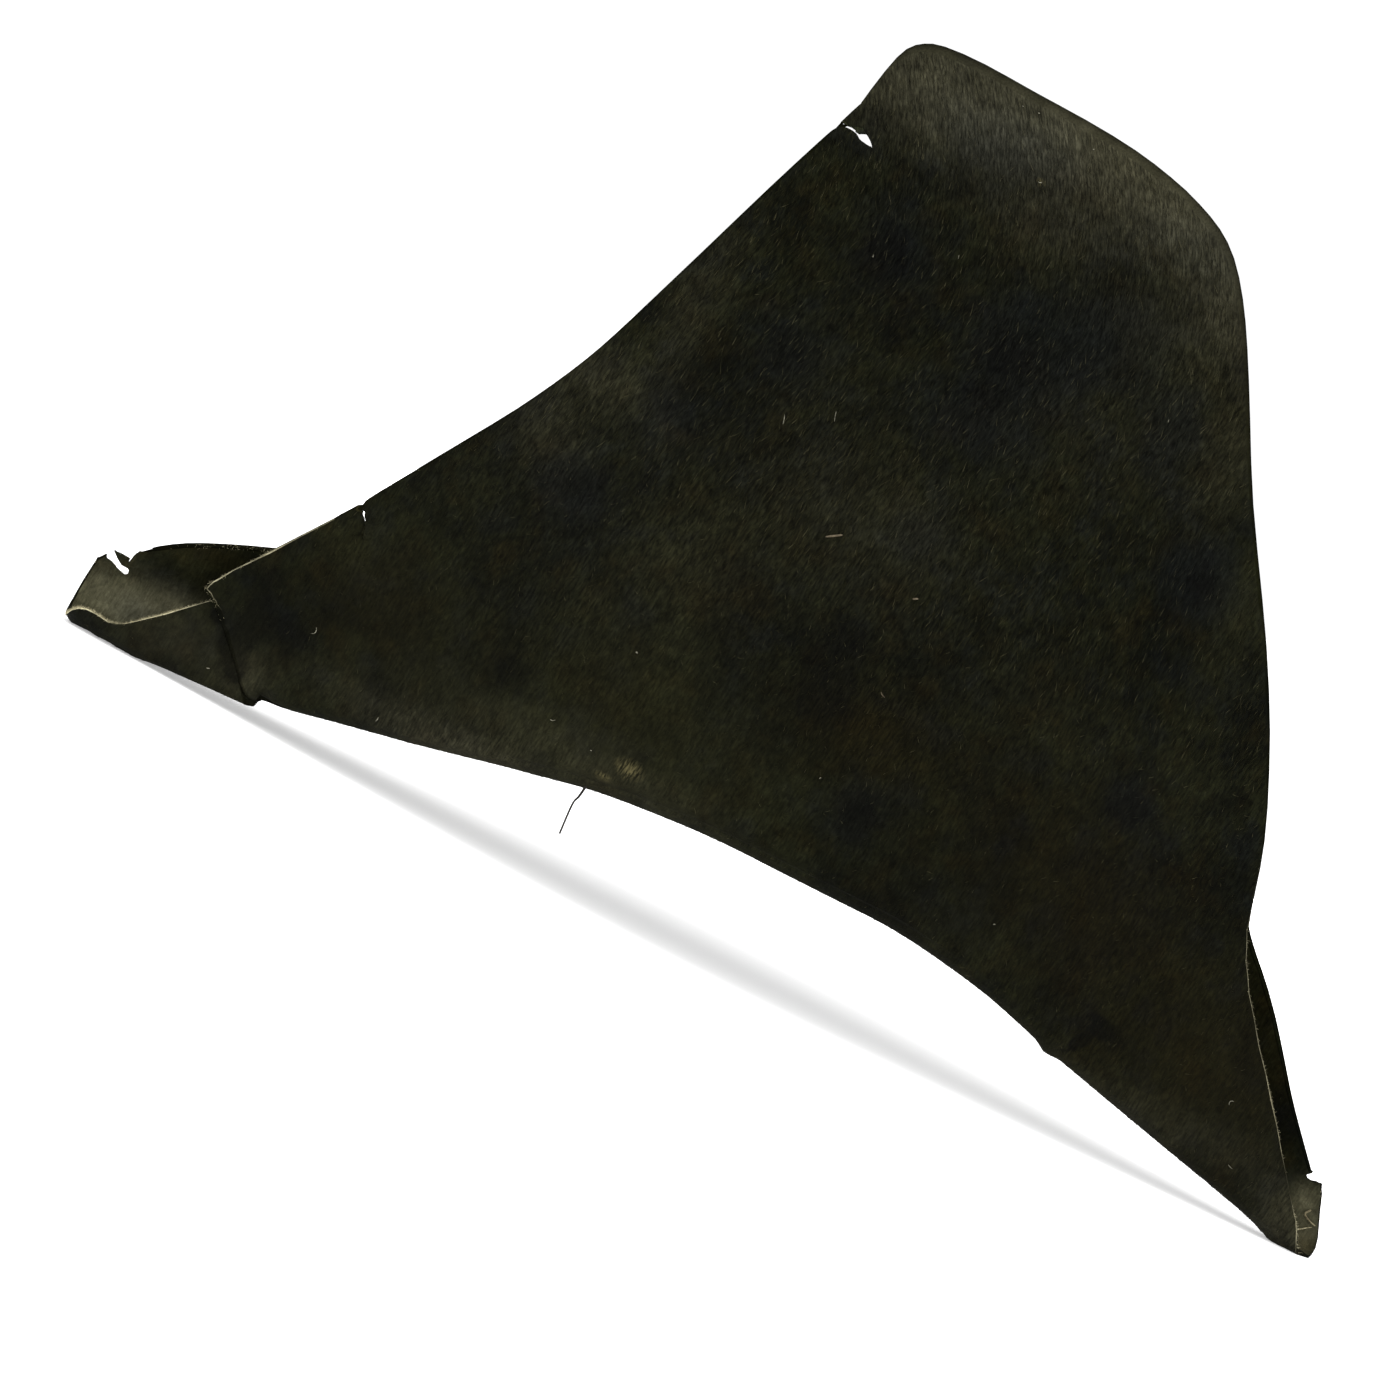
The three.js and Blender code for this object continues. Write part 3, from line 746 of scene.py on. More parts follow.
NUDGES = (
    # The corner beside the tear, and the slits' lips
    Nudge(-172.2, 4, 8.5, 22, (0, 0, 2.6), Span.REARWARD),
    Nudge(-173.2, 3, 2.5, 4, (0.5, 0, -0.3)),
    Nudge(-204.7, 36, 2, 2, (-1.3, 0, -0.8)),
    Nudge(-202.2, 34.4, 1.8, 1.8, (-0.6, 0, -0.7)),
    Nudge(-199.6, 32.5, 1.8, 1.8, (-0.6, 0, -0.7)),
    Nudge(-82.6, 282.7, 2.4, 3, (-0.1, 0, -1.3), Span.BELOW),
    Nudge(-70.8, 281, 6, 6, (0.2, 0, -0.9), Span.ABOVE, -0.32),
    Nudge(-171.4, 85.4, 3, 2.8, (1.6, 0, 0.6), Span.ABOVE, -6),
    Nudge(-167.4, 82.8, 2.4, 2.4, (0.26, 0, 0.36), Span.BELOW, -0.73),
    Nudge(-167.4, 82.8, 2.4, 2.4, (-0.26, 0, -0.36), Span.ABOVE, -0.73),
    Nudge(-165.7, 80.4, 3, 4.4, (0.45, 0, 0.18), Span.BELOW, -2.8),
    Nudge(-165.7, 80.4, 3, 4.4, (-0.45, 0, -0.18), Span.ABOVE, -2.8),
    # The crease that runs up from the lower edge
    Nudge(131, 27, 4, 5, (-0.8, 0, -1.3)),
    Nudge(135, 29, 3, 4, (0, 1.2, 0)),
    Nudge(139, 36, 3, 4, (0, 1.4, 0)),
    Nudge(144, 44, 3.5, 4, (0, 0.9, 0)),
    Nudge(132, 34, 4, 5, (0, -0.7, 0)),
    Nudge(138, 44, 4.5, 5, (0, -0.6, 0)),
    # The outline, from the photograph
    Nudge(-30, 330, 58, 30, (0, 0, -2.7)),
    Nudge(30, 322, 34, 26, (0, 0, -0.9)),
    Nudge(105, 235, 60, 90, (-0.8, 0, -0.3)),
    Nudge(-110, 220, 50, 100, (0.45, 0, -0.1)),
    Nudge(-172, 88, 30, 30, (0.35, 0, -0.35)),
    Nudge(10, 37, 70, 14, (0, 0, -0.5)),
    Nudge(-218, 0, 34, 9, (0, 0, 0.6)),
    Nudge(-218, 0, 34, 9, (0, 0, 0.6), side=FAR),
    Nudge(188, 84, 18, 26, (-1.2, 0, -0.6), side=FAR),
    Nudge(246.5, 4, 4.9, 6, (1.7, 0, -1.4), side=FAR),
)


@dataclass(frozen=True)
class Slit:
    """A narrow cut in a flap, in the side view, in millimetres."""

    x: float
    z: float
    reach: float
    side: Side = Side.NEAR

    def is_near(self, place: Vector) -> bool:
        """Tells whether a place is on the slit's flap and within its reach."""
        away = math.hypot(place.x - self.x * MM, place.z - self.z * MM)
        return away < self.reach * MM and place.y * self.side.value > 0


SLITS = (Slit(-75, 282.5, 9), Slit(-168, 82, 8), Slit(-240, 28, 9, FAR), Slit(241, 27, 7, FAR))


@dataclass
class FeltShell:
    """The hat's one felt, made from a copy of its CAD solid."""

    name: str = "felt_shell"
    merge_distance: float = 1e-6
    slit_flat: float = math.radians(9)
    short_edge: float = 0.0007
    probe: float = 1e-5
    wall: float = 0.0034
    sharp: float = math.radians(42)
    quad_turn: float = math.radians(40)
    quad_skew: float = math.radians(120)
    edge_round: float = 0.0003
    round_steps: int = 2
    fits: int = 2
    long_edge: float = 0.0042
    fine_edge: float = 0.0009
    fine_reach: float = 0.007
    fine_nudge: float = 5.0
    step_cuts: int = 2
    ripple: float = 0.0005
    ripple_size: float = 0.028
    ripple_foot: float = 0.06
    ripple_rise: float = 0.05
    ripple_middle: float = 0.02
    ripple_apart: float = 0.3

    def build(self, solid: Object) -> Object:
        """Builds the felt.

        Args:
            solid: The CAD node that it stands for.

        Returns:
            The piece.
        """
        bm = bmesh.new()
        bm.from_mesh(solid.data)
        bmesh.ops.remove_doubles(bm, verts=bm.verts, dist=self.merge_distance)
        self._sort_skins(bm)
        self._tidy_slits(bm)
        self._join_quads(bm)
        self._round_cut_edges(bm)
        mesh = self._refine(mesh_of(self.name, bm))
        inside = NappedFelt("inner_felt", lightness=3.4, least_streak=0.2, worn_spots=())
        finishes = (NappedFelt(), inside, CutFelt())
        piece = add_piece(self.name, mesh, [finish.build() for finish in finishes])
        self._write_surface(mesh)
        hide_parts(FELT_NODE)
        return piece

    def _walk(self, start: BMFace, thin: set[BMFace]) -> set[BMFace]:
        """Walks over one skin of the felt."""
        seen = {start}
        ahead = [start]
        while ahead:
            for edge in ahead.pop().edges:
                if edge.calc_face_angle(0) > self.sharp:
                    continue
                for face in edge.link_faces:
                    if face in thin and face not in seen:
                        seen.add(face)
                        ahead.append(face)
        return seen

    def _sort_skins(self, bm: BMesh) -> None:
        """Tells the outside, the inside and the cut edge apart."""
        tree = BVHTree.FromBMesh(bm)
        thin = set()
        for face in bm.faces:
            start = face.calc_center_median() - face.normal * self.probe
            if tree.ray_cast(start, -face.normal, self.wall)[0] is not None:
                thin.add(face)
        outside = self._walk(min(thin, key=lambda face: face.calc_center_median().y), thin)
        for face in bm.faces:
            face.material_index = Skin.OUTSIDE if face in outside else Skin.INSIDE if face in thin else Skin.CUT
        for face in bm.faces:
            around = [other.material_index for edge in face.edges for other in edge.link_faces if other is not face]
            if len(set(around)) == 1:
                face.material_index = around[0]

    def _tidy_slits(self, bm: BMesh) -> None:
        """Clears the slivers away that a slit's cut has left in the mesh."""
        for slit in SLITS:
            near = {face for face in bm.faces if slit.is_near(face.calc_center_median())}
            edges = [edge for edge in bm.edges if edge.link_faces and near.issuperset(edge.link_faces)]
            verts = [vert for vert in bm.verts if vert.link_faces and near.issuperset(vert.link_faces)]
            bmesh.ops.dissolve_limit(
                bm,
                angle_limit=self.slit_flat,
                verts=verts,
                edges=edges,
                delimit={"MATERIAL"},
            )
        many_sided = [face for face in bm.faces if len(face.verts) > 4]
        bmesh.ops.triangulate(bm, faces=many_sided, quad_method="BEAUTY", ngon_method="BEAUTY")

    def _join_quads(self, bm: BMesh) -> None:
        """Pairs the triangles of each skin."""
        bmesh.ops.join_triangles(
            bm,
            faces=bm.faces[:],
            cmp_materials=True,
            angle_face_threshold=self.quad_turn,
            angle_shape_threshold=self.quad_skew,
        )

    def _corner_edges(self, bm: BMesh) -> list[BMEdge]:
        """Gives the edges between the cut edge and either skin."""
        corners = []
        for edge in bm.edges:
            cuts = [face.material_index == Skin.CUT for face in edge.link_faces]
            if len(cuts) == 2 and cuts[0] != cuts[1]:
                corners.append(edge)
        return corners

    def _round_cut_edges(self, bm: BMesh) -> None:
        """Rounds the two corners of every cut edge, and keeps a slit's corners sharp.

        Args:
            bm: The felt, as quads.
        """
        short = [edge for edge in self._corner_edges(bm) if edge.calc_length() < self.short_edge]
        bmesh.ops.collapse(bm, edges=short)
        crease = bm.edges.layers.float.new("crease_edge")
        rounded = []
        for edge in self._corner_edges(bm):
            middle = (edge.verts[0].co + edge.verts[1].co) / 2
            if any(slit.is_near(middle) for slit in SLITS):
                edge[crease] = 1.0
            else:
                rounded.append(edge)
        bmesh.ops.bevel(
            bm,
            geom=rounded,
            offset=self.edge_round,
            offset_type="OFFSET",
            segments=self.round_steps,
            profile=0.5,
            affect="EDGES",
            clamp_overlap=False,
            material=int(Skin.CUT),
        )

    def _smooth(self, mesh: Mesh) -> Mesh:
        """Gives one round of smooth subdivision of a mesh."""
        holder = bpy.data.objects.new("felt_holder", mesh)
        bpy.context.scene.collection.objects.link(holder)
        smooth = holder.modifiers.new("smooth", "SUBSURF")
        smooth.levels = smooth.render_levels = 1
        graph = bpy.context.evaluated_depsgraph_get()
        finer = bpy.data.meshes.new_from_object(holder.evaluated_get(graph))
        bpy.data.objects.remove(holder)
        return finer

    def _refine(self, mesh: Mesh) -> Mesh:
        """Rounds the facets off without shrinking the felt, and evens out the mesh.

        Args:
            mesh: The felt, as quads.

        Returns:
            The finer mesh.
        """
        goal = read_places(mesh)
        for _ in range(self.fits):
            finer = self._smooth(mesh)
            short = goal - read_places(finer)[: len(goal)]
            LOG.info("smoothing moved the felt by %.2f mm at most", float(np.abs(short).max()) / MM)
            write_places(mesh, read_places(mesh) + short)
            bpy.data.meshes.remove(finer)
        finer = self._smooth(mesh)
        bpy.data.meshes.remove(mesh)

        bm = bmesh.new()
        bm.from_mesh(finer)
        long_edges = [edge for edge in bm.edges if edge.calc_length() > self.long_edge]
        bmesh.ops.subdivide_edges(bm, edges=long_edges, cuts=1, use_grid_fill=True)
        self._refine_by_step(bm)
        bpy.data.meshes.remove(finer)
        mesh = mesh_of(self.name, bm)
        places = read_places(mesh)
        ripples = np.array([self._ripple_at(Vector(place)) for place in places])
        write_places(mesh, places + ripples + sum(nudge.move(places) for nudge in NUDGES))
        return mesh

    def _refine_by_step(self, bm: BMesh) -> None:
        """Makes the mesh finer where a nudge starts all at once."""
        sharp = [nudge for nudge in NUDGES if nudge.span is not Span.ALL or nudge.reach_x < self.fine_nudge]
        steps = [Vector((nudge.x, 0.0, nudge.z)) * MM for nudge in sharp]

        def is_close(vert: BMVert) -> bool:
            """Tells whether a point is beside a step, in the side view."""
            flat = vert.co * Vector((1.0, 0.0, 1.0))
            return any((flat - step).length < self.fine_reach for step in steps)

        for _ in range(self.step_cuts):
            near = [edge for edge in bm.edges if all(vert.co.y < 0 for vert in edge.verts)]
            close = [edge for edge in near if edge.calc_length() > self.fine_edge and any(map(is_close, edge.verts))]
            bmesh.ops.subdivide_edges(bm, edges=close, cuts=1, use_grid_fill=True)

    def _ripple_at(self, place: Vector) -> Vector:
        """Gives the small unevenness of a flap that has been handled."""
        side = 1.0 if place.y > 0 else -1.0
        rise = min(1.0, max(0.0, (place.z - self.ripple_foot) / self.ripple_rise))
        rise *= min(1.0, abs(place.y) / self.ripple_middle)
        grain = noise.noise(Vector((place.x, side * self.ripple_apart, place.z)) / self.ripple_size)
        return Vector((0.0, side * rise * grain * self.ripple, 0.0))

    def _write_surface(self, mesh: Mesh) -> None:
        """Stores what the felt's materials read.

        Args:
            mesh: The finished felt.
        """
        places = read_places(mesh)
        skins: dict[Skin, list[tuple[int, ...]]] = {skin: [] for skin in Skin}
        for face in mesh.polygons:
            skins[Skin(face.material_index)].append(tuple(face.vertices))
        inner = np.zeros(len(places), dtype=bool)
        inner[[index for corners in skins[Skin.INSIDE] for index in corners]] = True
        points = places.tolist()
        trees = [BVHTree.FromPolygons(points, skins[skin]) for skin in (Skin.OUTSIDE, Skin.INSIDE)]
        across = np.where(inner, 1.0, 0.0)
        for index in {index for corners in skins[Skin.CUT] for index in corners}:
            out, back = (tree.find_nearest(points[index])[3] for tree in trees)
            across[index] = out / max(out + back, 1e-9)
        write_numbers(mesh, "nap", NAP_FLOW.coordinates(places, read_rows(mesh.vertices, "normal", 3)))
        write_tones(mesh, places, inner)
        write_numbers(mesh, "raw", weigh_patches(RAW_EDGE, places))
        write_numbers(mesh, "across", across)


@dataclass(frozen=True)
class Roots:
    """Where fibres grow: places on the felt and the way it faces there."""

    places: np.ndarray
    normals: np.ndarray


class FeltSurface:
    """The finished felt, as something to set fibres and bits on."""

    def __init__(self, felt: Object) -> None:
        """Reads the felt's triangles.

        Args:
            felt: The finished felt.
        """
        mesh = felt.data
        mesh.calc_loop_triangles()
        triangles = read_rows(mesh.loop_triangles, "vertices", 3, np.int64)
        places = read_places(mesh)
        self.corners = places[triangles]
        skins = read_rows(mesh.polygons, "material_index", kind=np.int64)
        self.skins = skins[read_rows(mesh.loop_triangles, "polygon_index", kind=np.int64)]
        across = np.cross(self.corners[:, 1] - self.corners[:, 0], self.corners[:, 2] - self.corners[:, 0])
        length = np.linalg.norm(across, axis=1)
        self.areas = length / 2
        self.normals = across / np.maximum(length, 1e-12)[:, None]
        self.centres = self.corners.mean(axis=1)
        points = places.tolist()
        self.tree = BVHTree.FromPolygons(points, triangles.tolist())
        self.cut_tree = BVHTree.FromPolygons(points, triangles[self.skins == Skin.CUT].tolist())

    def scatter(self, wanted: np.ndarray, count: int, rng: np.random.Generator) -> Roots:
        """Spreads roots evenly over some of the felt's triangles."""
        weights = self.areas * wanted
        chosen = rng.choice(len(weights), size=count, p=weights / weights.sum())
        first, second = rng.random(count), rng.random(count)
        over = first + second > 1
        first[over], second[over] = 1 - first[over], 1 - second[over]
        corner = self.corners[chosen]
        places = (
            corner[:, 0]
            + first[:, None] * (corner[:, 1] - corner[:, 0])
            + second[:, None] * (corner[:, 2] - corner[:, 0])
        )
        return Roots(places, self.normals[chosen])

    def to_cut_edge(self, places: np.ndarray, reach: float) -> np.ndarray:
        """Gives how far each place is from the felt's cut edge."""
        found = (self.cut_tree.find_nearest(place, reach)[3] for place in places.tolist())
        return np.array([reach if distance is None else distance for distance in found])

    def near_flap(self, x: float, z: float) -> tuple[Vector, Vector]:
        """Finds a place of the near flap's outside, from its place in the side view."""
        place, normal, _, _ = self.tree.ray_cast(Vector((x, IN_FRONT, z)), Vector((0.0, 1.0, 0.0)))
        return place, normal


@dataclass(frozen=True)
class FibreShape:
    """How long and thick a field's fibres are, in metres, and how far they stand off, in radians."""

    length: tuple[float, float]
    thickness: tuple[float, float]
    lift: tuple[float, float]
    stray: float
    sunk: float = 0.00005


def fibre_field(
    name: str, roots: Roots, shape: FibreShape, longest: np.ndarray, skin: Skin, rng: np.random.Generator
) -> Mesh:
    """Grows one three-sided needle at each root.

    Args:
        name: The mesh's name.
        roots: Where they grow.
        shape: Their sizes.
        longest: The longest that each one may be.
        skin: The skin that they grow on.
        rng: The source of chance.

    Returns:
        The mesh, with a random shade on each needle.
    """
    bm = bmesh.new()
    bmesh.ops.create_cone(bm, cap_ends=True, segments=3, radius1=0.5, radius2=0.0, depth=1.0)
    bmesh.ops.translate(bm, verts=bm.verts, vec=(0.0, 0.0, 0.5))
    bmesh.ops.triangulate(bm, faces=bm.faces[:])
    needle = np.array([vert.co for vert in bm.verts])
    faces = np.array([[vert.index for vert in face.verts] for face in bm.faces])
    bm.free()

    count = len(roots.places)
    lying = NAP_FLOW.directions(roots.places, roots.normals)
    side = np.cross(roots.normals, lying)
    turn = rng.normal(0.0, shape.stray, count)[:, None]
    flat = lying * np.cos(turn) + side * np.sin(turn)
    lift = rng.uniform(*shape.lift, count)[:, None]
    along = flat * np.cos(lift) + roots.normals * np.sin(lift)
    across = np.cross(roots.normals, flat)
    above = np.cross(along, across)
    thickness = rng.uniform(*shape.thickness, count)
    length = np.minimum(rng.uniform(*shape.length, count), longest)
    start = roots.places - roots.normals * shape.sunk
    points = (
        start[:, None]
        + across[:, None] * (needle[None, :, :1] * thickness[:, None, None])
        + above[:, None] * (needle[None, :, 1:2] * thickness[:, None, None])
        + along[:, None] * (needle[None, :, 2:] * length[:, None, None])
    )
    corners = (faces[None] + np.arange(count)[:, None, None] * len(needle)).reshape(-1, 3)

    mesh = bpy.data.meshes.new(name)
    mesh.from_pydata(points.reshape(-1, 3), [], corners)
    write_numbers(mesh, "shade", np.repeat(rng.random(count) ** SHADE_CURVE, len(needle)))
    write_tones(mesh, np.repeat(roots.places, len(needle), axis=0), np.full(count * len(needle), skin is Skin.INSIDE))
    return mesh


@dataclass
class Nap:
    """The short hairs that stand on one part of the felt."""

    name: str
    skin: Skin
    count: int
    seed: int
    side: Side | None = None
    heights: tuple[float, float] = (-1.0, 1.0)
    rubbed_off: float = 0.85
    overhang: float = 0.0002
    shape: FibreShape = FibreShape((0.0018, 0.0045), (0.00012, 0.00024), (0.04, 0.16), 0.26)

    def build(self, surface: FeltSurface, material: Material) -> Object:
        """Grows the hairs."""
        rng = np.random.default_rng(self.seed)
        height = surface.centres[:, 2]
        wanted = (surface.skins == self.skin) & (height >= self.heights[0]) & (height < self.heights[1])
        if self.side is not None:
            wanted = wanted & (surface.centres[:, 1] * self.side.value > 0)
        table = INNER_TONES if self.skin is Skin.INSIDE else OUTER_TONES
        left = 1 - self.rubbed_off * weigh_patches(table.smooth, surface.centres)
        roots = surface.scatter(wanted * left, self.count, rng)
        longest = surface.to_cut_edge(roots.places, self.shape.length[1]) + self.overhang
        mesh = fibre_field(self.name, roots, self.shape, longest, self.skin, rng)
        return add_piece(self.name, mesh, [material])


FINE_NAP = FibreShape((0.0009, 0.0026), (0.0001, 0.00018), (0.04, 0.24), 0.6)


@dataclass
class TornFringe:
    """Pale fibres that stick out of the raw stretches of the cut edge."""

    name: str = "torn_fringe"
    count: int = 2600
    seed: int = 71
    shape: FibreShape = FibreShape((0.0004, 0.0014), (0.00009, 0.00016), (0.2, 1.3), 1.5)

    def build(self, surface: FeltSurface, material: Material) -> Object:
        """Grows the fringe."""
        rng = np.random.default_rng(self.seed)
        raw = weigh_patches(RAW_EDGE, surface.centres)
        roots = surface.scatter((surface.skins == Skin.CUT) * raw**2, self.count, rng)
        longest = np.full(self.count, self.shape.length[1])
        mesh = fibre_field(self.name, roots, self.shape, longest, Skin.OUTSIDE, rng)
        return add_piece(self.name, mesh, [material])


def sweep(bm: BMesh, points: Sequence[Vector], radii: Sequence[float], sides: int = 6) -> None:
    """Adds a closed strand along a line of points."""
    rings = []
    for index, (point, radius) in enumerate(zip(points, radii)):
        before, after = points[max(0, index - 1)], points[min(len(points) - 1, index + 1)]
        turn = (after - before).to_track_quat("Z", "Y").to_matrix().to_4x4()
        made = bmesh.ops.create_circle(bm, segments=sides, radius=radius, matrix=Matrix.Translation(point) @ turn)
        rings.append(list(dict.fromkeys(edge for vert in made["verts"] for edge in vert.link_edges)))
    for first, second in zip(rings, rings[1:]):
        bmesh.ops.bridge_loops(bm, edges=first + second)
    bmesh.ops.holes_fill(bm, edges=rings[0] + rings[-1], sides=sides)
    bmesh.ops.recalc_face_normals(bm, faces=bm.faces[:])


class Bit(Enum):
    """What a bit of lint is."""

    STRAW = "straw"
    LINT = "lint"


@dataclass(frozen=True)
class LintBit:
    """A bit caught in the nap of the near flap, in the side view, in millimetres and degrees."""

    x: float
    z: float
    length: float
    thickness: float
    turn: float
    bend: float = 0.0
    kind: Bit = Bit.LINT


# Rows of x, z, length, thickness, turn, bend and kind
LINT_BITS = tuple(
    LintBit(*row)
    for row in (
        (-17.3, 154.7, 5.8, 0.75, 33, 0, Bit.STRAW), (17.6, 148.4, 1.9, 0.7, 30, 0, Bit.STRAW),
        (-51.4, 182, 3.4, 0.2, 108, 8), (-36.1, 191, 3.4, 0.22, 108, -6), (-163.9, 39.8, 3.4, 0.24, 75, 70),
        (-59.4, 88, 0.7, 0.55, 0), (-74.6, 53.5, 1.8, 0.3, 25, 30), (-130, 23.9, 1.6, 0.25, 80, 20),
        (22.6, 114.2, 2.2, 0.3, -28, 20, Bit.STRAW), (16.6, 79.3, 0.7, 0.25, 60), (93.4, 60.6, 0.7, 0.3, 20),
        (-58, 50.8, 0.6, 0.3, 10), (67.9, 242.3, 0.9, 0.22, 100), (-10.1, 295.8, 1.3, 0.25, 20, 40),
        (-23.5, 259.7, 1.2, 0.22, 105), (-27.7, 316.9, 0.5, 0.26, 0), (-21.6, 317.3, 0.5, 0.26, 0),
        (1.2, 314.7, 0.5, 0.3, 0), (-50.2, 246.4, 1, 0.2, 100), (197, 39.6, 2.6, 0.2, 60, -80),
        (207.9, 18.6, 2, 0.22, -20, 10), (-192.6, 10.1, 1.1, 0.34, 20),
    )
)


@dataclass
class CaughtBits:
    """The straws and lint that are caught in the nap."""

    name: str
    kind: Bit
    steps: int = 5
    blunt_end: float = 0.75
    proud: float = 0.00035

    def build(self, surface: FeltSurface, material: Material) -> Object:
        """Lays the bits of one kind on the felt.

        Args:
            surface: The felt.
            material: Their finish.

        Returns:
            The piece.
        """
        bm = bmesh.new()
        for bit in (bit for bit in LINT_BITS if bit.kind is self.kind):
            half = bit.length * MM / 2
            points = []
            for step in range(self.steps):
                share = step / (self.steps - 1) * 2 - 1
                angle = math.radians(bit.turn + bit.bend * share / 2)
                x = bit.x * MM + half * share * math.cos(angle)
                z = bit.z * MM + half * share * math.sin(angle)
                place, normal = surface.near_flap(x, z)
                points.append(place + normal * self.proud)
            radius = bit.thickness * MM / 2
            radii = [radius * (self.blunt_end if step in (0, self.steps - 1) else 1.0) for step in range(self.steps)]
            sweep(bm, points, radii)
        return add_piece(self.name, mesh_of(self.name, bm), [material])


@dataclass
class Strand:
    """One loose strand, along a few points in millimetres."""

    name: str
    points: tuple[tuple[float, float, float], ...]
    thickness: float
    thin_end: float = 0.5
    steps: int = 24

    def build(self, material: Material) -> Object:
        """Lays the strand along a smooth line through its points."""
        line = [Vector(point) * MM for point in self.points]
        path = []
        for step in range(self.steps + 1):
            at = step / self.steps * (len(line) - 1)
            index = min(int(at), len(line) - 2)
            path.append(self._between(line, index, at - index))
        full = self.thickness * MM / 2
        radii = [full * (1 + (self.thin_end - 1) * step / self.steps) for step in range(self.steps + 1)]
        bm = bmesh.new()
        sweep(bm, path, radii)
        return add_piece(self.name, mesh_of(self.name, bm), [material])

    @staticmethod
    def _between(line: Sequence[Vector], index: int, share: float) -> Vector:
        """Gives a point of the smooth line between two of its points."""
        last = len(line) - 1
        before, start, end = line[max(0, index - 1)], line[index], line[index + 1]
        after = line[min(last, index + 2)]
        pull = (end - before) / 2
        push = (after - start) / 2
        square, cube = share**2, share**3
        return (
            start * (2 * cube - 3 * square + 1)
            + pull * (cube - 2 * square + share)
            + end * (3 * square - 2 * cube)
            + push * (cube - square)
        )


THREAD_STUB = Strand(
    "thread_stub", ((244, 11.6, 16), (241.6, 9.4, 13.2), (243.9, 9.4, 11.6), (246.8, 9, 10.8)), 0.9
)
CRACK_LIP = Strand(
    "crack_lip", ((239.6, 6, 6), (242.4, 8.4, 7.4), (244.5, 9.4, 8.9), (246.7, 10, 10.2)), 0.65
)
STRAY_HAIR = Strand(
    "stray_hair", ((-54, -83.2, 39.4), (-54.6, -84.4, 34.6), (-55.4, -85, 31), (-54.7, -84.6, 20)), 0.95, 0.8
)


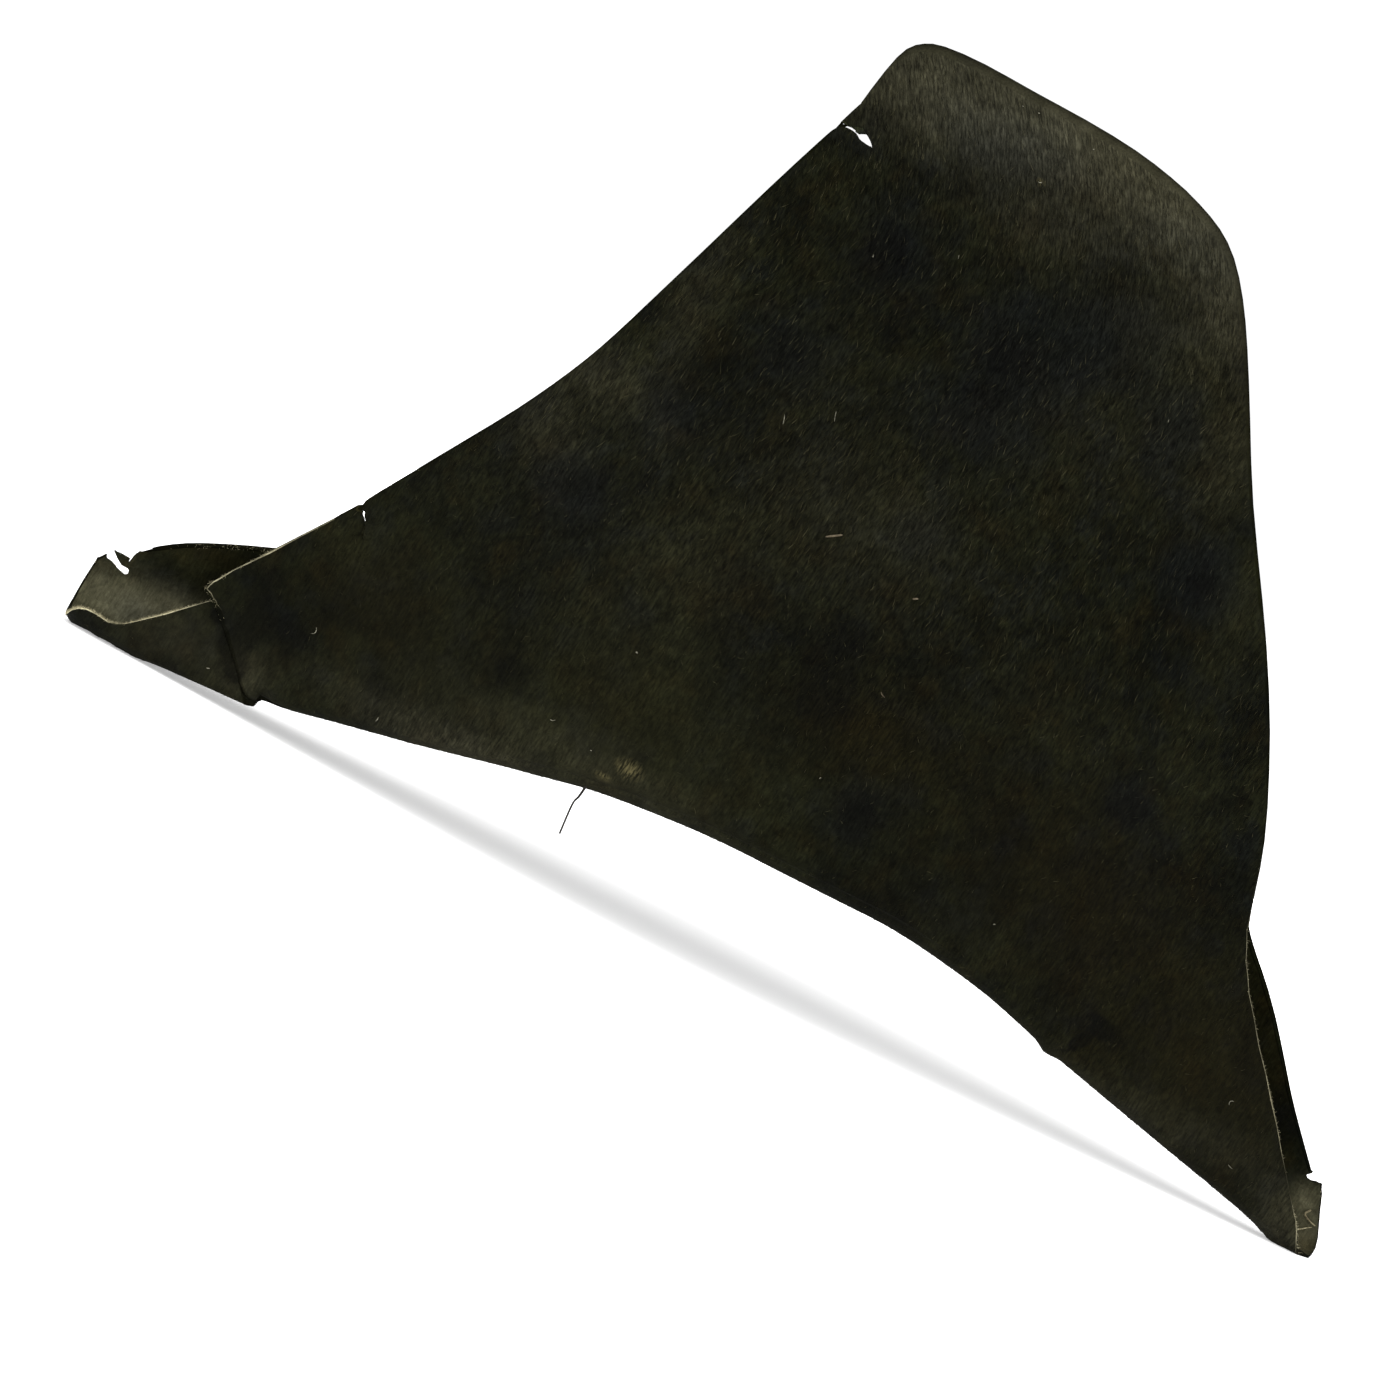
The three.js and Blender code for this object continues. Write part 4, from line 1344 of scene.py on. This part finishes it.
@dataclass
class Studio:
    """A pale floor, soft light, and the camera at the photograph's angle to the hat."""

    aim: Vector = field(default_factory=lambda: Vector((-0.0336, 0.0, 0.0779)))
    stand: Vector = field(default_factory=lambda: Vector((0.0046, 0.0, 0.15)))
    distance: float = 3.2
    elevation: float = math.radians(2.5)
    roll: float = math.radians(27.189)
    frame_width: float = 0.497
    sensor: float = 36.0
    clip_end: float = 50.0
    floor_half: float = 6.0
    paper: Colour = srgb(250, 250, 250)
    paper_glow: float = 0.42
    paper_roughness: float = 0.8
    paper_gloss: float = 0.1
    paper_grain: Pattern = Pattern(40.0, 2.0, 0.5)
    grain_range: Range = (0.3, 0.7, 0.985, 1.0)
    room_light: float = 1.05

    def build(self) -> None:
        """Sets the camera, the floor and the lights."""
        self._set_camera()
        self._lay_floor()
        self._light()

    def _set_camera(self) -> None:
        """Sets the camera, turned as the photograph shows the hat."""
        away = Vector((0.0, -math.cos(self.elevation), math.sin(self.elevation)))
        place = self.stand + away * self.distance
        sight = (self.aim - place).normalized()
        data = bpy.data.cameras.new("camera")
        data.sensor_width = self.sensor
        data.lens = self.sensor * (self.aim - place).length / self.frame_width
        data.clip_end = self.clip_end
        camera = bpy.data.objects.new("camera", data)
        bpy.context.scene.collection.objects.link(camera)
        level = sight.to_track_quat("-Z", "Y").to_matrix().to_4x4()
        camera.matrix_world = Matrix.Translation(place) @ level @ Matrix.Rotation(self.roll, 4, "Z")
        bpy.context.scene.camera = camera

    def _lay_floor(self) -> None:
        """Lays the floor."""
        bm = bmesh.new()
        bmesh.ops.create_grid(bm, x_segments=2, y_segments=2, size=self.floor_half)
        sheet = NodeSheet("studio_paper")
        grain = sheet.noise(sheet.places(), self.paper_grain)
        shade = sheet.scale_colour(self.paper, sheet.spread(grain, *self.grain_range))
        material = sheet.finish(
            Base_Color=shade,
            Roughness=self.paper_roughness,
            Specular_IOR_Level=self.paper_gloss,
            Emission_Color=WHITE,
            Emission_Strength=self.paper_glow,
        )
        floor = bpy.data.objects.new("floor", mesh_of("floor", bm))
        floor.data.materials.append(material)
        bpy.context.scene.collection.objects.link(floor)

    def _light(self) -> None:
        """Hangs the soft boxes, and fills the room with even light."""
        world = bpy.data.worlds.new("studio_light")
        world.use_nodes = True
        background = world.node_tree.nodes["Background"]
        background.inputs["Color"].default_value = (*WHITE, 1.0)
        background.inputs["Strength"].default_value = self.room_light
        bpy.context.scene.world = world
        # Rows of name, place, size in metres and power in watts
        boxes = (
            ("top_box", (0.1, -0.3, 1.9), 1.6, 12.0),
            ("front_box", (-1.5, -2.0, 1.2), 1.4, 12.0),
            ("side_box", (1.9, -1.4, 0.9), 1.2, 5.0),
            ("back_box", (0.0, 1.7, 0.55), 1.2, 22.0),
        )
        for name, place, size, power in boxes:
            data = bpy.data.lights.new(name, "AREA")
            data.shape = "SQUARE"
            data.size = size
            data.energy = power
            lamp = bpy.data.objects.new(name, data)
            bpy.context.scene.collection.objects.link(lamp)
            aim = self.stand - Vector(place)
            lamp.matrix_world = Matrix.Translation(place) @ aim.to_track_quat("-Z", "Y").to_matrix().to_4x4()


class BicorneHat:
    """The whole hat: its felt, nap, torn edges and what is caught in them."""

    def __init__(self, nodes: dict[str, Object]) -> None:
        """Takes the CAD nodes."""
        self.solid = nodes[FELT_NODE]
        self.pieces: list[Object] = []

    def build(self) -> None:
        """Builds the pieces in order."""
        felt = FeltShell().build(self.solid)
        surface = FeltSurface(felt)
        hair = NapHair().build()
        naps = (
            Nap("nap_near_flap_top", Skin.OUTSIDE, 46000, 11, Side.NEAR, (NAP_CHANGE, 1.0)),
            Nap("nap_near_flap_foot", Skin.OUTSIDE, 46000, 12, Side.NEAR, (-1.0, NAP_CHANGE), shape=FINE_NAP),
            Nap("nap_far_flap", Skin.OUTSIDE, 44000, 13, Side.FAR),
            Nap("nap_inside", Skin.INSIDE, 40000, 14, shape=FINE_NAP),
        )
        self.pieces = [felt]
        self.pieces += [nap.build(surface, hair) for nap in naps]
        raw = RAW_FIBRE.build()
        self.pieces.append(TornFringe().build(surface, raw))
        self.pieces.append(CaughtBits("straw_bits", Bit.STRAW).build(surface, STRAW.build()))
        self.pieces.append(CaughtBits("lint_bits", Bit.LINT).build(surface, LINT.build()))
        strands = ((THREAD_STUB, BROWN_THREAD.build()), (CRACK_LIP, raw), (STRAY_HAIR, DARK_HAIR.build()))
        self.pieces += [strand.build(finish) for strand, finish in strands]

    def report(self) -> None:
        """Logs each piece and its size."""
        for piece in self.pieces:
            size = [round(length / MM) for length in piece.dimensions]
            LOG.info("%s: %d faces, size %s mm", piece.name, len(piece.data.polygons), size)


def main() -> None:
    """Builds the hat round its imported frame, and the studio round the hat."""
    logging.basicConfig(level=logging.INFO, format="%(name)s %(message)s")
    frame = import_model()
    bpy.context.scene.view_settings.view_transform = "Standard"
    Studio().build()
    hat = BicorneHat(frame["nodes"])
    hat.build()
    bpy.context.view_layer.update()
    hat.report()


if __name__ == "__main__":
    main()
